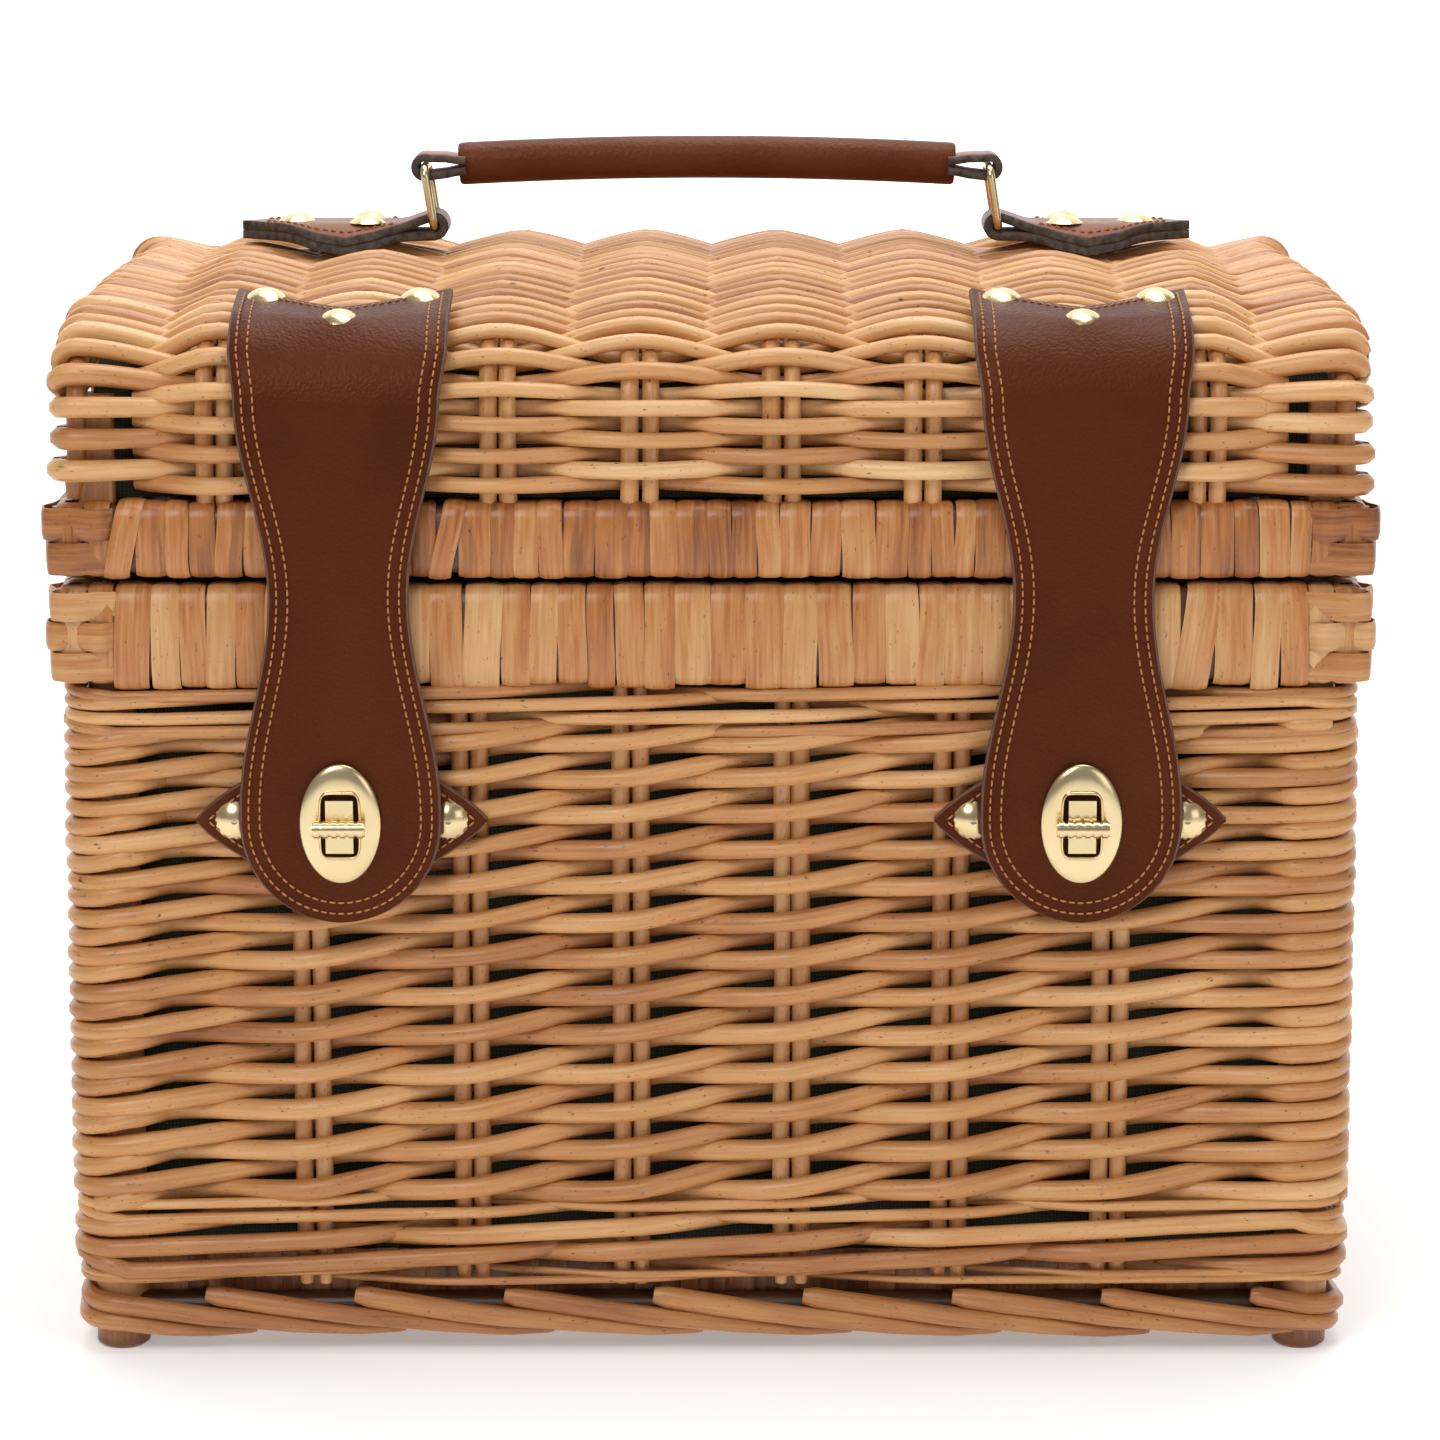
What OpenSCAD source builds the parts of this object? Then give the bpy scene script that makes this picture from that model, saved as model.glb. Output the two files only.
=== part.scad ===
// Willow picnic basket with a domed lid, two leather straps with turn locks and a leather carrying handle.
// Millimetres. Origin at the centre of the footprint on the floor, +Z up, front towards -Y.

/* [Basket] */
// Width over the basket's rim
rim_w = 407; // [400:1:412]
// Depth over the basket's rim, front to back
rim_d = 296; // [290:1:302]
// Height of the basket's rim above the floor
rim_top = 247; // [246:0.5:248]
// Height of the wrapped rim
rim_h = 32; // [30:0.5:33]
// Thickness of the wrapped rim
rim_t = 16; // [15:0.5:17]
// Thickness of the woven walls
wall_t = 15; // [14:0.5:16]
// Thickness of the fabric lining
lining_t = 1.5; // [1:0.1:2]

/* [Willow] */
// Diameter of a stake
stake_d = 4.8; // [4:0.1:5]
// Distance between stake pairs in the front and back walls
stake_pitch_x = 50; // [48:0.5:51]
// Distance between stake pairs in the side walls
stake_pitch_y = 52; // [50:0.5:53]
// Diameter of a corner post
post_d = 17; // [15:0.5:18]
// Height of a corner post's foot below the border
foot_h = 6.6; // [5:0.2:8]

/* [Lid] */
// Width over the lid's rim
lid_w = 408; // [402:1:412]
// Height of the lid's wrapped rim
lid_rim_h = 24; // [22:0.5:25]
// Gap between the two rims
lid_gap = 1.5; // [1.2:0.1:2]
// Height of the lid's ridge above the floor
ridge_z = 339; // [338:0.5:340]
// Thickness of the woven dome
dome_t = 13; // [12:0.5:14]
// Radius of the dome's front and back shoulders
shoulder_r = 28; // [27:0.5:30]
// Slope of the roof where it meets a shoulder, in degrees
roof_slope = 12; // [10:0.5:13]
// Distance between the lid's stake pairs
lid_stake_pitch = 43.5; // [42:0.5:44]

/* [Straps and turn locks] */
// Distance of each strap from the middle
strap_x = 114; // [112:1:116]
// Height of the turn locks above the floor
lock_z = 174; // [172:1:176]
// Height of the strap's bend below the shoulder
strap_bend_z = 306; // [304:1:308]
// Thickness of the doubled strap leather
leather_t = 3.2; // [3:0.1:3.4]
// Strap width at the riveted head
head_w = 67; // [64:1:68]
// Strap width at the waist
waist_w = 43; // [40:1:46]
// Strap width at the round lobe
lobe_w = 62; // [60:1:64]
// Width of the catch tab, tip to tip
catch_w = 90; // [86:1:92]
// Height of the catch tab
catch_h = 62; // [58:1:64]
// Diameter of a domed rivet head
rivet_d = 12; // [11:0.5:13]

/* [Handle] */
// Distance between the two rings
ring_gap = 186; // [182:1:190]
// Wire diameter of a ring
wire_d = 2.8; // [2.6:0.1:3]
// Length of the grip sleeve
grip_l = 163; // [158:1:166]
// Diameter of the grip sleeve
grip_d = 14; // [13:0.5:15]
// Lean of the rings and handle to the left at rest, in degrees
ring_lean = 9; // [6:0.5:12]

/* [Hidden] */
$fn = 64;
gap = 0.3;
// The locks stand further out in front than the hinges do behind, so the basket sits back by this much.
set_back = 5;

willow = [0.80, 0.58, 0.36];
skein = [0.84, 0.66, 0.44];
core_wood = [0.62, 0.45, 0.28];
olive_cloth = [0.32, 0.33, 0.24];
saddle_leather = [0.40, 0.19, 0.12];
brass = [0.86, 0.74, 0.46];

// Stake pairs in a long wall, a side wall and the lid
front_pairs = 6;
side_pairs = 4;
lid_pairs = 8;

// Basket levels
border_z = foot_h;
border_h = 15.4;
floor_z = border_z + border_h;
wale_z = 28;
wale_h = 24;
weave_z = wale_z + wale_h;
rim_z = rim_top - rim_h;
upper_wale_h = 16;
weave_top = rim_z - upper_wale_h;
skin_t = 6;
body_w = rim_w - 3;
body_d = rim_d - 3;
body_r = 14;
post_hole = post_d + 2 * gap;
post_x = body_w / 2 - skin_t - post_hole / 2;
post_y = body_d / 2 - skin_t - post_hole / 2;
corner_l = 20;

// Lid levels
lid_z = rim_top + lid_gap;
dome_z = lid_z + lid_rim_h;
dome_d = rim_d - 1;
end_r = 30;
dome_w = lid_w - 2;
roof_r = shoulder_r + (dome_d / 2 - shoulder_r) / sin(roof_slope);
shoulder_z = ridge_z - roof_r + (roof_r - shoulder_r) * cos(roof_slope);
end_x = 174;
bow_in = 3;
bow_t = 8;

// Front planes, measured back from the middle of the basket
front_y = -rim_d / 2;
catch_y = front_y + gap;
catch_t = 3;
dome_h = 2.5;
shank_r = 1.8;
lobe_y = catch_y - catch_t - dome_h - 2 * gap;
strap_lean = asin((lobe_y - leather_t / 2 - strap_axis_y()) / (lock_z - strap_bend_z));
plate_t = 2.5;
frame_t = 1;
plate_y = lobe_y - leather_t;
toggle_r = 2.8;
toggle_y = plate_y - plate_t - frame_t - 2 * gap - toggle_r;

// Hinge axis of the lid: on the outer face of the back hinge leather, level with the gap
hinge_x = 105;
hinge_t = 3;
hinge_w = 30;
hinge_y = rim_d / 2 + gap + hinge_t;
hinge_z = rim_top + lid_gap / 2;
hinge_clear = 5;

// Handle levels
tab_z = ridge_z + gap;
tab_t = 6;
ring_z = tab_z + hinge_t + gap + wire_d / 2;
ring_h = 19.5;
ring_w = 24;
ring_shift = ring_h * sin(ring_lean);
ring_rise = ring_h * cos(ring_lean);
eye_r = wire_d / 2 + 0.5;
eye_t = 3;
bar_z = ring_z + ring_rise;
arch = 3;
strap_run = ring_gap / 2;
arch_r = (strap_run * strap_run + arch * arch) / (2 * arch);

function strap_axis_y() = front_y - 0.5 - leather_t / 2;

function arc(c, r, from, to, steps) =
  [for (i = [0 : steps]) let (a = from + (to - from) * i / steps) [c[0] + r * cos(a), c[1] + r * sin(a)]];

// Outline of the dome seen from the side, (y, z), moved inwards by inset.
function side_outline(inset) = concat(
  [[-(dome_d / 2 - inset), dome_z]],
  arc([-(dome_d / 2 - shoulder_r), shoulder_z], shoulder_r - inset, 180, 90 + roof_slope, 7),
  arc([0, ridge_z - roof_r], roof_r - inset, 90 + roof_slope, 90 - roof_slope, 12),
  arc([dome_d / 2 - shoulder_r, shoulder_z], shoulder_r - inset, 90 - roof_slope, 0, 7),
  [[dome_d / 2 - inset, dome_z]]
);

// Outline of the dome seen from the front, (x, z), moved inwards by inset.
function front_outline(inset) = concat(
  [[dome_w / 2 - inset, dome_z]],
  arc([dome_w / 2 - end_r, ridge_z - end_r], end_r - inset, 0, 90, 9),
  arc([end_r - dome_w / 2, ridge_z - end_r], end_r - inset, 90, 180, 9),
  [[inset - dome_w / 2, dome_z]]
);

// Half width of the free strap at a height: head, waist, then the lobe's circle.
function ease(t) = (1 - cos(180 * t)) / 2;
waist_z = 244;
neck_z = lock_z + 12;
bend_w = head_w - 4;
function strap_half(z) =
  z > waist_z
    ? waist_w / 2 + (bend_w - waist_w) / 2 * ease((z - waist_z) / (strap_bend_z - waist_z))
    : waist_w / 2 + (lobe_w - waist_w) / 2 * ease((waist_z - z) / (waist_z - neck_z));

module back() {
  translate([0, set_back, 0])
    children();
}

module along_x(x0, x1) {
  translate([x0, 0, 0])
    rotate([90, 0, 90])
      linear_extrude(x1 - x0)
        children();
}

module along_y(y0, y1) {
  translate([0, y1, 0])
    rotate([90, 0, 0])
      linear_extrude(y1 - y0)
        children();
}

module round_plate(w, d, r) {
  square([w - 2 * r, d], center = true);
  square([w, d - 2 * r], center = true);
  for (x = [-1, 1], y = [-1, 1])
    translate([x * (w / 2 - r), y * (d / 2 - r)])
      circle(r);
}

// One level of the wall all round, with square seats for the corner posts.
module wall_ring(w, d, t) {
  difference() {
    round_plate(w, d, body_r);
    square([body_w - 2 * t, body_d - 2 * t], center = true);
    post_seats();
  }
}

module post_seats() {
  for (x = [-1, 1], y = [-1, 1])
    translate([x * post_x, y * post_y])
      square(post_hole, center = true);
}

module domed_rivet(shank) {
  cap_r = (rivet_d * rivet_d / 4 + dome_h * dome_h) / (2 * dome_h);
  rotate_extrude()
    intersection() {
      translate([0, dome_h - cap_r])
        circle(cap_r);
      square([rivet_d / 2, dome_h]);
    }
  translate([0, 0, -shank])
    cylinder(r = shank_r, h = shank);
}

module rivet_hole(depth) {
  translate([0, 0, -depth - 1])
    cylinder(r = shank_r, h = depth + 2);
}

// ---- Basket ----

module corner_post(sx, sy) {
  color(willow)
    back()
      translate([sx * post_x, sy * post_y, 0])
        cylinder(d = post_d, h = rim_z - gap);
}

module bottom_border() {
  color(willow)
    back()
      translate([0, 0, border_z])
        linear_extrude(border_h)
          wall_ring(body_w - 2, body_d - 2, wall_t);
}

base_w = body_w - 2 * wall_t - 2 * gap;
base_d = body_d - 2 * wall_t - 2 * gap;
slat_d = 8;
slat_inset = 6;
slat_z = border_z + 1.5;

module slats(extra) {
  for (i = [-3 : 3])
    translate([i * stake_pitch_x - (slat_d + extra) / 2, slat_inset - base_d / 2, slat_z])
      cube([slat_d + extra, base_d - 2 * slat_inset, slat_d + extra]);
}

module base_frame() {
  color(core_wood)
    back()
      slats(0);
}

module base_weave() {
  color(willow)
    back()
      difference() {
        translate([0, 0, border_z])
          linear_extrude(border_h - 1)
            difference() {
              square([base_w, base_d], center = true);
              post_seats();
            }
        translate([0, 0, -gap])
          slats(2 * gap);
      }
}

function pair_steps(count) = [for (i = [0 : count - 1]) i - (count - 1) / 2];

module stake_pair(h, grow) {
  for (s = [-1, 1])
    translate([s * (stake_d / 2 + 0.05), 0, 0])
      cylinder(d = stake_d + grow, h = h);
}

module stake_row_x(sy) {
  for (i = pair_steps(front_pairs))
    translate([i * stake_pitch_x, sy * (body_d / 2 - wall_t / 2), floor_z])
      stake_pair(rim_z - floor_z - gap, 0);
}

module stake_row_y(sx) {
  for (i = pair_steps(side_pairs))
    translate([sx * (body_w / 2 - wall_t / 2), i * stake_pitch_y, floor_z])
      rotate([0, 0, 90])
        stake_pair(rim_z - floor_z - gap, 0);
}

// Plan of the channels that the stake pairs stand in.
module stake_channels() {
  long = 2 * stake_d + 3 * gap;
  wide = stake_d + 2 * gap;
  for (i = pair_steps(front_pairs), sy = [-1, 1])
    translate([i * stake_pitch_x, sy * (body_d / 2 - wall_t / 2)])
      square([long, wide], center = true);
  for (i = pair_steps(side_pairs), sx = [-1, 1])
    translate([sx * (body_w / 2 - wall_t / 2), i * stake_pitch_y])
      square([wide, long], center = true);
}

module stakes_front_back(sy) {
  color(skein)
    back()
      stake_row_x(sy);
}

module stakes_side(sx) {
  color(skein)
    back()
      stake_row_y(sx);
}

side_d = 2 * (post_y - post_hole / 2 - 2);

module weave_band(z0, h) {
  translate([0, 0, z0])
    linear_extrude(h)
      difference() {
        wall_ring(body_w, body_d, wall_t);
        stake_channels();
      }
}

module weave_front_back(sy) {
  color(willow)
    back()
      intersection() {
        weave_band(weave_z, weave_top - weave_z);
        translate([-body_w, sy > 0 ? side_d / 2 : -side_d / 2 - body_d, 0])
          cube([2 * body_w, body_d, rim_top]);
      }
}

module weave_side(sx) {
  color(willow)
    back()
      intersection() {
        weave_band(weave_z, weave_top - weave_z);
        translate([sx > 0 ? 0 : -body_w, -side_d / 2, 0])
          cube([body_w, side_d, rim_top]);
      }
}

module lower_wale() {
  color(willow)
    back()
      weave_band(wale_z, wale_h);
}

module upper_wale() {
  color(willow)
    back()
      weave_band(weave_top, upper_wale_h);
}

module rim_ring(w, d, t) {
  difference() {
    round_plate(w, d, body_r);
    square([w - 2 * t, d - 2 * t], center = true);
  }
}

module corner_zones(w, d) {
  for (x = [-1, 1], y = [-1, 1])
    translate([x * w / 2, y * d / 2])
      square(2 * corner_l, center = true);
}

skin = 2.5;

module rim_core_ring(w, z0, h) {
  color(core_wood)
    back()
      translate([0, 0, z0 + skin])
        linear_extrude(h - 2 * skin)
          rim_ring(w - 2 * skin, rim_d - 2 * skin, rim_t - 2 * skin);
}

module rim_skin(w, z0, h, colour) {
  color(colour)
    back()
      difference() {
        translate([0, 0, z0])
          linear_extrude(h)
            intersection() {
              rim_ring(w, rim_d, rim_t);
              children();
            }
        translate([0, 0, z0 + skin])
          linear_extrude(h - 2 * skin)
            rim_ring(w - 2 * skin, rim_d - 2 * skin, rim_t - 2 * skin);
      }
}

module rim_core() {
  rim_core_ring(rim_w, rim_z, rim_h);
}

module rim_wrap() {
  rim_skin(rim_w, rim_z, rim_h, skein)
    difference() {
      square([rim_w, rim_d], center = true);
      corner_zones(rim_w, rim_d);
    }
}

module rim_corner_plaits() {
  rim_skin(rim_w, rim_z, rim_h, willow)
    corner_zones(rim_w, rim_d);
}

module lining() {
  in_w = body_w - 2 * wall_t - 2 * gap;
  in_d = body_d - 2 * wall_t - 2 * gap;
  corner = 2 * (in_w / 2 - post_x + post_hole / 2 + gap);
  color(olive_cloth)
    back()
      difference() {
        translate([0, 0, floor_z - 1 + gap])
          linear_extrude(rim_z - floor_z)
            lining_plan(in_w, in_d, corner);
        translate([0, 0, floor_z - 1 + gap + lining_t])
          linear_extrude(rim_z)
            lining_plan(in_w - 2 * lining_t, in_d - 2 * lining_t, corner);
      }
}

// The lining steps in round the corner posts.
module lining_plan(w, d, corner) {
  difference() {
    square([w, d], center = true);
    for (x = [-1, 1], y = [-1, 1])
      translate([x * w / 2, y * d / 2])
        square(corner, center = true);
  }
}

// ---- Turn locks ----

module diamond(w, h) {
  polygon([[-w / 2, 0], [-5, h / 2], [5, h / 2], [w / 2, 0], [5, -h / 2], [-5, -h / 2]]);
}

catch_rivet_x = 33;

module at_catch_rivets(sx) {
  for (s = [-1, 1])
    translate([sx * strap_x + s * catch_rivet_x, catch_y - catch_t, lock_z])
      rotate([90, 0, 0])
        children();
}

module catch_tab(sx) {
  color(saddle_leather)
    back()
      difference() {
        translate([sx * strap_x, 0, lock_z])
          along_y(catch_y - catch_t, catch_y)
            diamond(catch_w, catch_h);
        at_catch_rivets(sx)
          rivet_hole(catch_t);
      }
}

module catch_rivets() {
  color(brass)
    back()
      for (sx = [-1, 1])
        at_catch_rivets(sx)
          domed_rivet(catch_t);
}

slot_w = 11;
slot_h = 19;
slot_play = 1.25;
flange_w = 14;
flange_h = 26;
flange_t = 1;
toggle_pin_r = 2;
toggle_pin_in = 5;
toggle_pin_play = 0.06;
post_front_y = toggle_y + toggle_r + gap;

// Base flange on the catch tab and the fixed post that comes through the strap's slot.
module lock_post(sx) {
  color(brass)
    back()
      translate([sx * strap_x, 0, lock_z])
        difference() {
          union() {
            along_y(catch_y - catch_t - flange_t, catch_y - catch_t)
              square([flange_w, flange_h], center = true);
            along_y(post_front_y, catch_y - catch_t)
              square([slot_w - 2 * slot_play, slot_h - 2 * slot_play], center = true);
          }
          translate([0, post_front_y + toggle_pin_in, 0])
            rotate([90, 0, 0])
              cylinder(r = toggle_pin_r + toggle_pin_play, h = 2 * toggle_pin_in);
        }
}

bar_l = 16;
ribs = 6;
rib_w = 1.6;
rib_h = 0.5;

// Ribbed bar across the post, with the pin that it turns on.
module toggle(sx) {
  color(brass)
    back()
      translate([sx * strap_x, toggle_y, lock_z]) {
        translate([-bar_l / 2, 0, 0])
          rotate([0, 90, 0])
            cylinder(r = toggle_r - rib_h, h = bar_l);
        for (i = pair_steps(ribs))
          translate([i * bar_l / ribs - rib_w / 2, 0, 0])
            rotate([0, 90, 0])
              cylinder(r = toggle_r, h = rib_w);
        translate([0, toggle_r + toggle_pin_in, 0])
          rotate([90, 0, 0])
            cylinder(r = toggle_pin_r, h = toggle_r + toggle_pin_in);
      }
}

// ---- Lid ----

module dome(inset) {
  intersection() {
    along_x(-lid_w / 2, lid_w / 2)
      polygon(side_outline(inset));
    along_y(-rim_d / 2, rim_d / 2)
      polygon(front_outline(inset));
  }
}

module slab_x(x0, x1) {
  translate([x0, -rim_d, dome_z])
    cube([x1 - x0, 2 * rim_d, ridge_z]);
}

module lid_rim_core() {
  rim_core_ring(lid_w, lid_z, lid_rim_h);
}

module lid_rim_wrap() {
  rim_skin(lid_w, lid_z, lid_rim_h, skein)
    difference() {
      square([lid_w, rim_d], center = true);
      corner_zones(lid_w, rim_d);
    }
}

module lid_corner_plaits() {
  rim_skin(lid_w, lid_z, lid_rim_h, willow)
    corner_zones(lid_w, rim_d);
}

module stake_arches(long, inset, t) {
  for (i = pair_steps(lid_pairs))
    along_x(i * lid_stake_pitch - long / 2, i * lid_stake_pitch + long / 2)
      difference() {
        polygon(side_outline(inset));
        translate([0, -0.01])
          polygon(side_outline(inset + t));
      }
}

module lid_stakes() {
  color(skein)
    back()
      stake_arches(2 * stake_d, 4.3, stake_d - 0.4);
}

module lid_weave() {
  color(willow)
    back()
      difference() {
        intersection() {
          dome(0);
          slab_x(-end_x, end_x);
        }
        translate([0, 0, -0.01])
          dome(dome_t);
        translate([0, 0, -0.005])
          stake_arches(2 * stake_d + 2 * gap, 4.3 - gap, stake_d - 0.4 + 2 * gap);
      }
}

module mirrored_x(sx) {
  if (sx < 0)
    mirror([1, 0, 0])
      children();
  else
    children();
}

bow_x = 182;

module bow_slab(grow) {
  slab_x(bow_x - bow_t / 2 - grow, bow_x + bow_t / 2 + grow);
}

module lid_bow(sx) {
  color(core_wood)
    back()
      mirrored_x(sx)
        difference() {
          intersection() {
            dome(bow_in);
            bow_slab(0);
          }
          translate([0, 0, -0.01])
            dome(bow_in + bow_t);
        }
}

module lid_end(sx) {
  color(willow)
    back()
      mirrored_x(sx)
        difference() {
          intersection() {
            dome(0);
            slab_x(end_x, lid_w);
          }
          translate([0, 0, -0.01])
            dome(dome_t);
          intersection() {
            translate([0, 0, -0.02])
              difference() {
                dome(bow_in - gap);
                translate([0, 0, -0.01])
                  dome(bow_in + bow_t + gap);
              }
            bow_slab(gap);
          }
        }
}

module lid_lining() {
  color(olive_cloth)
    back()
      difference() {
        dome(dome_t + gap);
        translate([0, 0, -0.01])
          dome(dome_t + gap + lining_t);
      }
}

// ---- Back hinges ----

module hinge_outline(h) {
  polygon([[-hinge_w / 2, 0], [hinge_w / 2, 0], [hinge_w / 2, h - 10], [0, h], [-hinge_w / 2, h - 10]]);
}

hinge_leaf_h = 58;
lid_leaf_h = 48;

module at_hinge_rivets(sz, h) {
  for (sx = [-1, 1], z = [14, h - 16])
    translate([sx * hinge_x, hinge_y, hinge_z + sz * z])
      rotate([-90, 0, 0])
        children();
}

module hinge_leaf(sx, sz, h) {
  color(saddle_leather)
    back()
      difference() {
        translate([sx * hinge_x, 0, hinge_z])
          along_y(hinge_y - hinge_t, hinge_y)
            difference() {
              mirrored_z(sz)
                hinge_outline(h);
              square([hinge_w + 2, 2 * hinge_clear], center = true);
            }
        at_hinge_rivets(sz, h)
          rivet_hole(hinge_t);
      }
}

module mirrored_z(s) {
  if (s < 0)
    mirror([0, 1])
      children();
  else
    children();
}

module hinge_rivets(sz, h) {
  color(brass)
    back()
      at_hinge_rivets(sz, h)
        domed_rivet(hinge_t);
}

// ---- Straps ----

head_lift = 0.5;
bend_gap = 1.5;

// Strap head: follows the shoulder from the riveted edge on the roof down to the bend.
module head_band() {
  difference() {
    polygon(side_outline(-head_lift - leather_t));
    translate([0, -0.01])
      polygon(side_outline(-head_lift));
    translate([-rim_d, 0])
      square([2 * rim_d, strap_bend_z + bend_gap]);
  }
}

head_back_y = -dome_d / 2 + 44;
head_corner = 4;
notch_depth = 19;
rivet_step = 24;
roof_rivet_y = -dome_d / 2 + 35;
roof_rivet_lean = asin(-roof_rivet_y / (roof_r + head_lift + leather_t));
shoulder_rivet_lean = 25;

// Plan of the riveted edge: two points at the sides and a notch in the middle.
module head_plan() {
  half = head_w / 2;
  polygon([
    [-half, head_back_y - head_corner], [-half + 6, head_back_y], [-8, head_back_y - notch_depth + 3],
    [0, head_back_y - notch_depth], [8, head_back_y - notch_depth + 3], [half - 6, head_back_y],
    [half, head_back_y - head_corner], [half, -rim_d], [-half, -rim_d]
  ]);
}

// Stands its children on the leather, on an arc of the dome's outline, leaning forward.
module on_arc(x, centre, radius, lean) {
  translate([x, centre[0], centre[1]])
    rotate([lean, 0, 0])
      translate([0, 0, radius + head_lift + leather_t])
        children();
}

// The three rivets of a strap head: two on the roof and one on the shoulder.
module at_strap_rivets(sx) {
  for (side = [-1, 1])
    on_arc(sx * strap_x + side * rivet_step, [0, ridge_z - roof_r], roof_r, roof_rivet_lean)
      children();
  on_arc(sx * strap_x, [shoulder_r - dome_d / 2, shoulder_z], shoulder_r, shoulder_rivet_lean)
    children();
}

module strap_head(sx) {
  color(saddle_leather)
    back()
      difference() {
        translate([sx * strap_x, 0, 0])
          intersection() {
            along_x(-head_w / 2, head_w / 2)
              head_band();
            linear_extrude(2 * ridge_z)
              head_plan();
          }
        at_strap_rivets(sx)
          rivet_hole(leather_t);
      }
}

module strap_rivets() {
  color(brass)
    back()
      for (sx = [-1, 1])
        at_strap_rivets(sx)
          domed_rivet(leather_t);
}

// Outline of the free strap, (x, z), with the bend at z = 0.
module strap_outline() {
  steps = 16;
  z_top = strap_bend_z - bend_gap;
  heights = [for (i = [0 : steps]) z_top + (neck_z - z_top) * i / steps];
  translate([0, -strap_bend_z]) {
    polygon(concat(
      [for (z = heights) [-strap_half(z), z]],
      [for (i = [steps : -1 : 0]) [strap_half(heights[i]), heights[i]]]
    ));
    translate([0, neck_z])
      intersection() {
        circle(lobe_w / 2);
        translate([-lobe_w, -2 * lobe_w])
          square(2 * lobe_w);
      }
  }
}

// Stands its children on the strap's own plane, which leans out from the bend to the lobe.
module on_strap(sx) {
  back()
    translate([sx * strap_x, strap_axis_y(), strap_bend_z])
      rotate([-strap_lean, 0, 0])
        children();
}

lock_drop = (strap_bend_z - lock_z) / cos(strap_lean);

module strap(sx) {
  color(saddle_leather)
    on_strap(sx)
      along_y(-leather_t / 2, leather_t / 2)
        difference() {
          strap_outline();
          translate([0, -lock_drop])
            square([slot_w + 1, slot_h + 2], center = true);
        }
}

module ellipse(w, h) {
  polygon([for (i = [0 : 39]) [w / 2 * cos(9 * i), h / 2 * sin(9 * i)]]);
}

module lock_plate(sx) {
  color(brass)
    on_strap(sx)
      translate([0, 0, -lock_drop])
        difference() {
          union() {
            along_y(-leather_t / 2 - plate_t, -leather_t / 2)
              ellipse(25.3, 38);
            along_y(-leather_t / 2 - plate_t - frame_t, -leather_t / 2)
              square([slot_w + 4, slot_h + 4], center = true);
          }
          along_y(-leather_t - 10, leather_t)
            square([slot_w, slot_h], center = true);
        }
}

// ---- Handle ----

// Leaf-shaped tab, (x outwards from the ring, y).
module leaf() {
  tab_l = 64;
  polygon([
    [0, -10], [10, -11], [20, -17], [30, -20], [38, -19], [50, -12], [tab_l, 0],
    [50, 12], [38, 19], [30, 20], [20, 17], [10, 11], [0, 10]
  ]);
}

// x of the ring's lower bar and of its upper bar
function low_bar_x(sx) = sx * ring_gap / 2 + ring_shift / 2;
function high_bar_x(sx) = sx * ring_gap / 2 - ring_shift / 2;

module at_tab_rivets(sx) {
  for (p = [[22, -9], [22, 9], [46, 0]])
    translate([low_bar_x(sx) + sx * p[0], p[1], tab_z + tab_t])
      children();
}

module handle_tab(sx) {
  eye_out = eye_r + eye_t;
  color(saddle_leather)
    back()
      difference() {
        union() {
          translate([low_bar_x(sx), 0, tab_z])
            linear_extrude(tab_t)
              mirrored_x(sx)
                leaf();
          translate([low_bar_x(sx), 10, ring_z])
            rotate([90, 0, 0])
              cylinder(r = ring_z - tab_z, h = 20);
        }
        translate([low_bar_x(sx), eye_out + 12, ring_z])
          rotate([90, 0, 0])
            cylinder(r = eye_r, h = 2 * eye_out + 24);
        at_tab_rivets(sx)
          rivet_hole(tab_t);
      }
}

module handle_tab_rivets() {
  color(brass)
    back()
      for (sx = [-1, 1])
        at_tab_rivets(sx)
          domed_rivet(tab_t);
}

// Round-cornered wire rectangle in the XY plane, its lower bar on the x axis.
module wire_loop() {
  r = 3;
  for (c = [[1, 1, 0], [-1, 1, 90], [-1, -1, 180], [1, -1, 270]])
    translate([c[0] * (ring_w / 2 - r), ring_h / 2 + c[1] * (ring_h / 2 - r), 0])
      rotate([0, 0, c[2]])
        rotate_extrude(angle = 90)
          translate([r, 0])
            circle(d = wire_d);
  for (s = [-1, 1]) {
    translate([-(ring_w / 2 - r), ring_h / 2 + s * ring_h / 2, 0])
      rotate([0, 90, 0])
        cylinder(d = wire_d, h = ring_w - 2 * r);
    translate([s * ring_w / 2, r, 0])
      rotate([-90, 0, 0])
        cylinder(d = wire_d, h = ring_h - 2 * r);
  }
}

module ring(sx) {
  color(brass)
    back()
      translate([low_bar_x(sx), 0, ring_z])
        rotate([0, -ring_lean, 0])
          rotate([90, 0, 90])
            wire_loop();
}

// Everything on the handle follows a low arch through the two upper ring bars.
module on_arch() {
  back()
    translate([-ring_shift / 2, 0, bar_z + arch - arch_r])
      children();
}

module arch_sweep(half_length) {
  a = asin(half_length / arch_r);
  rotate([90, 0, 0])
    rotate([0, 0, 90 - a])
      rotate_extrude(angle = 2 * a, $fn = 720)
        children();
}

strap_core_w = 18;
strap_core_t = 6;
grip_hole_w = strap_core_w / 2;

module handle_strap() {
  color(saddle_leather)
    difference() {
      union() {
        on_arch()
          arch_sweep(strap_run - 3) {
            translate([arch_r, 0])
              square([strap_core_t, grip_hole_w], center = true);
          }
        handle_eyes(eye_r + eye_t, strap_core_w);
      }
      handle_eyes(eye_r, strap_core_w + 10);
    }
}

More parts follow.
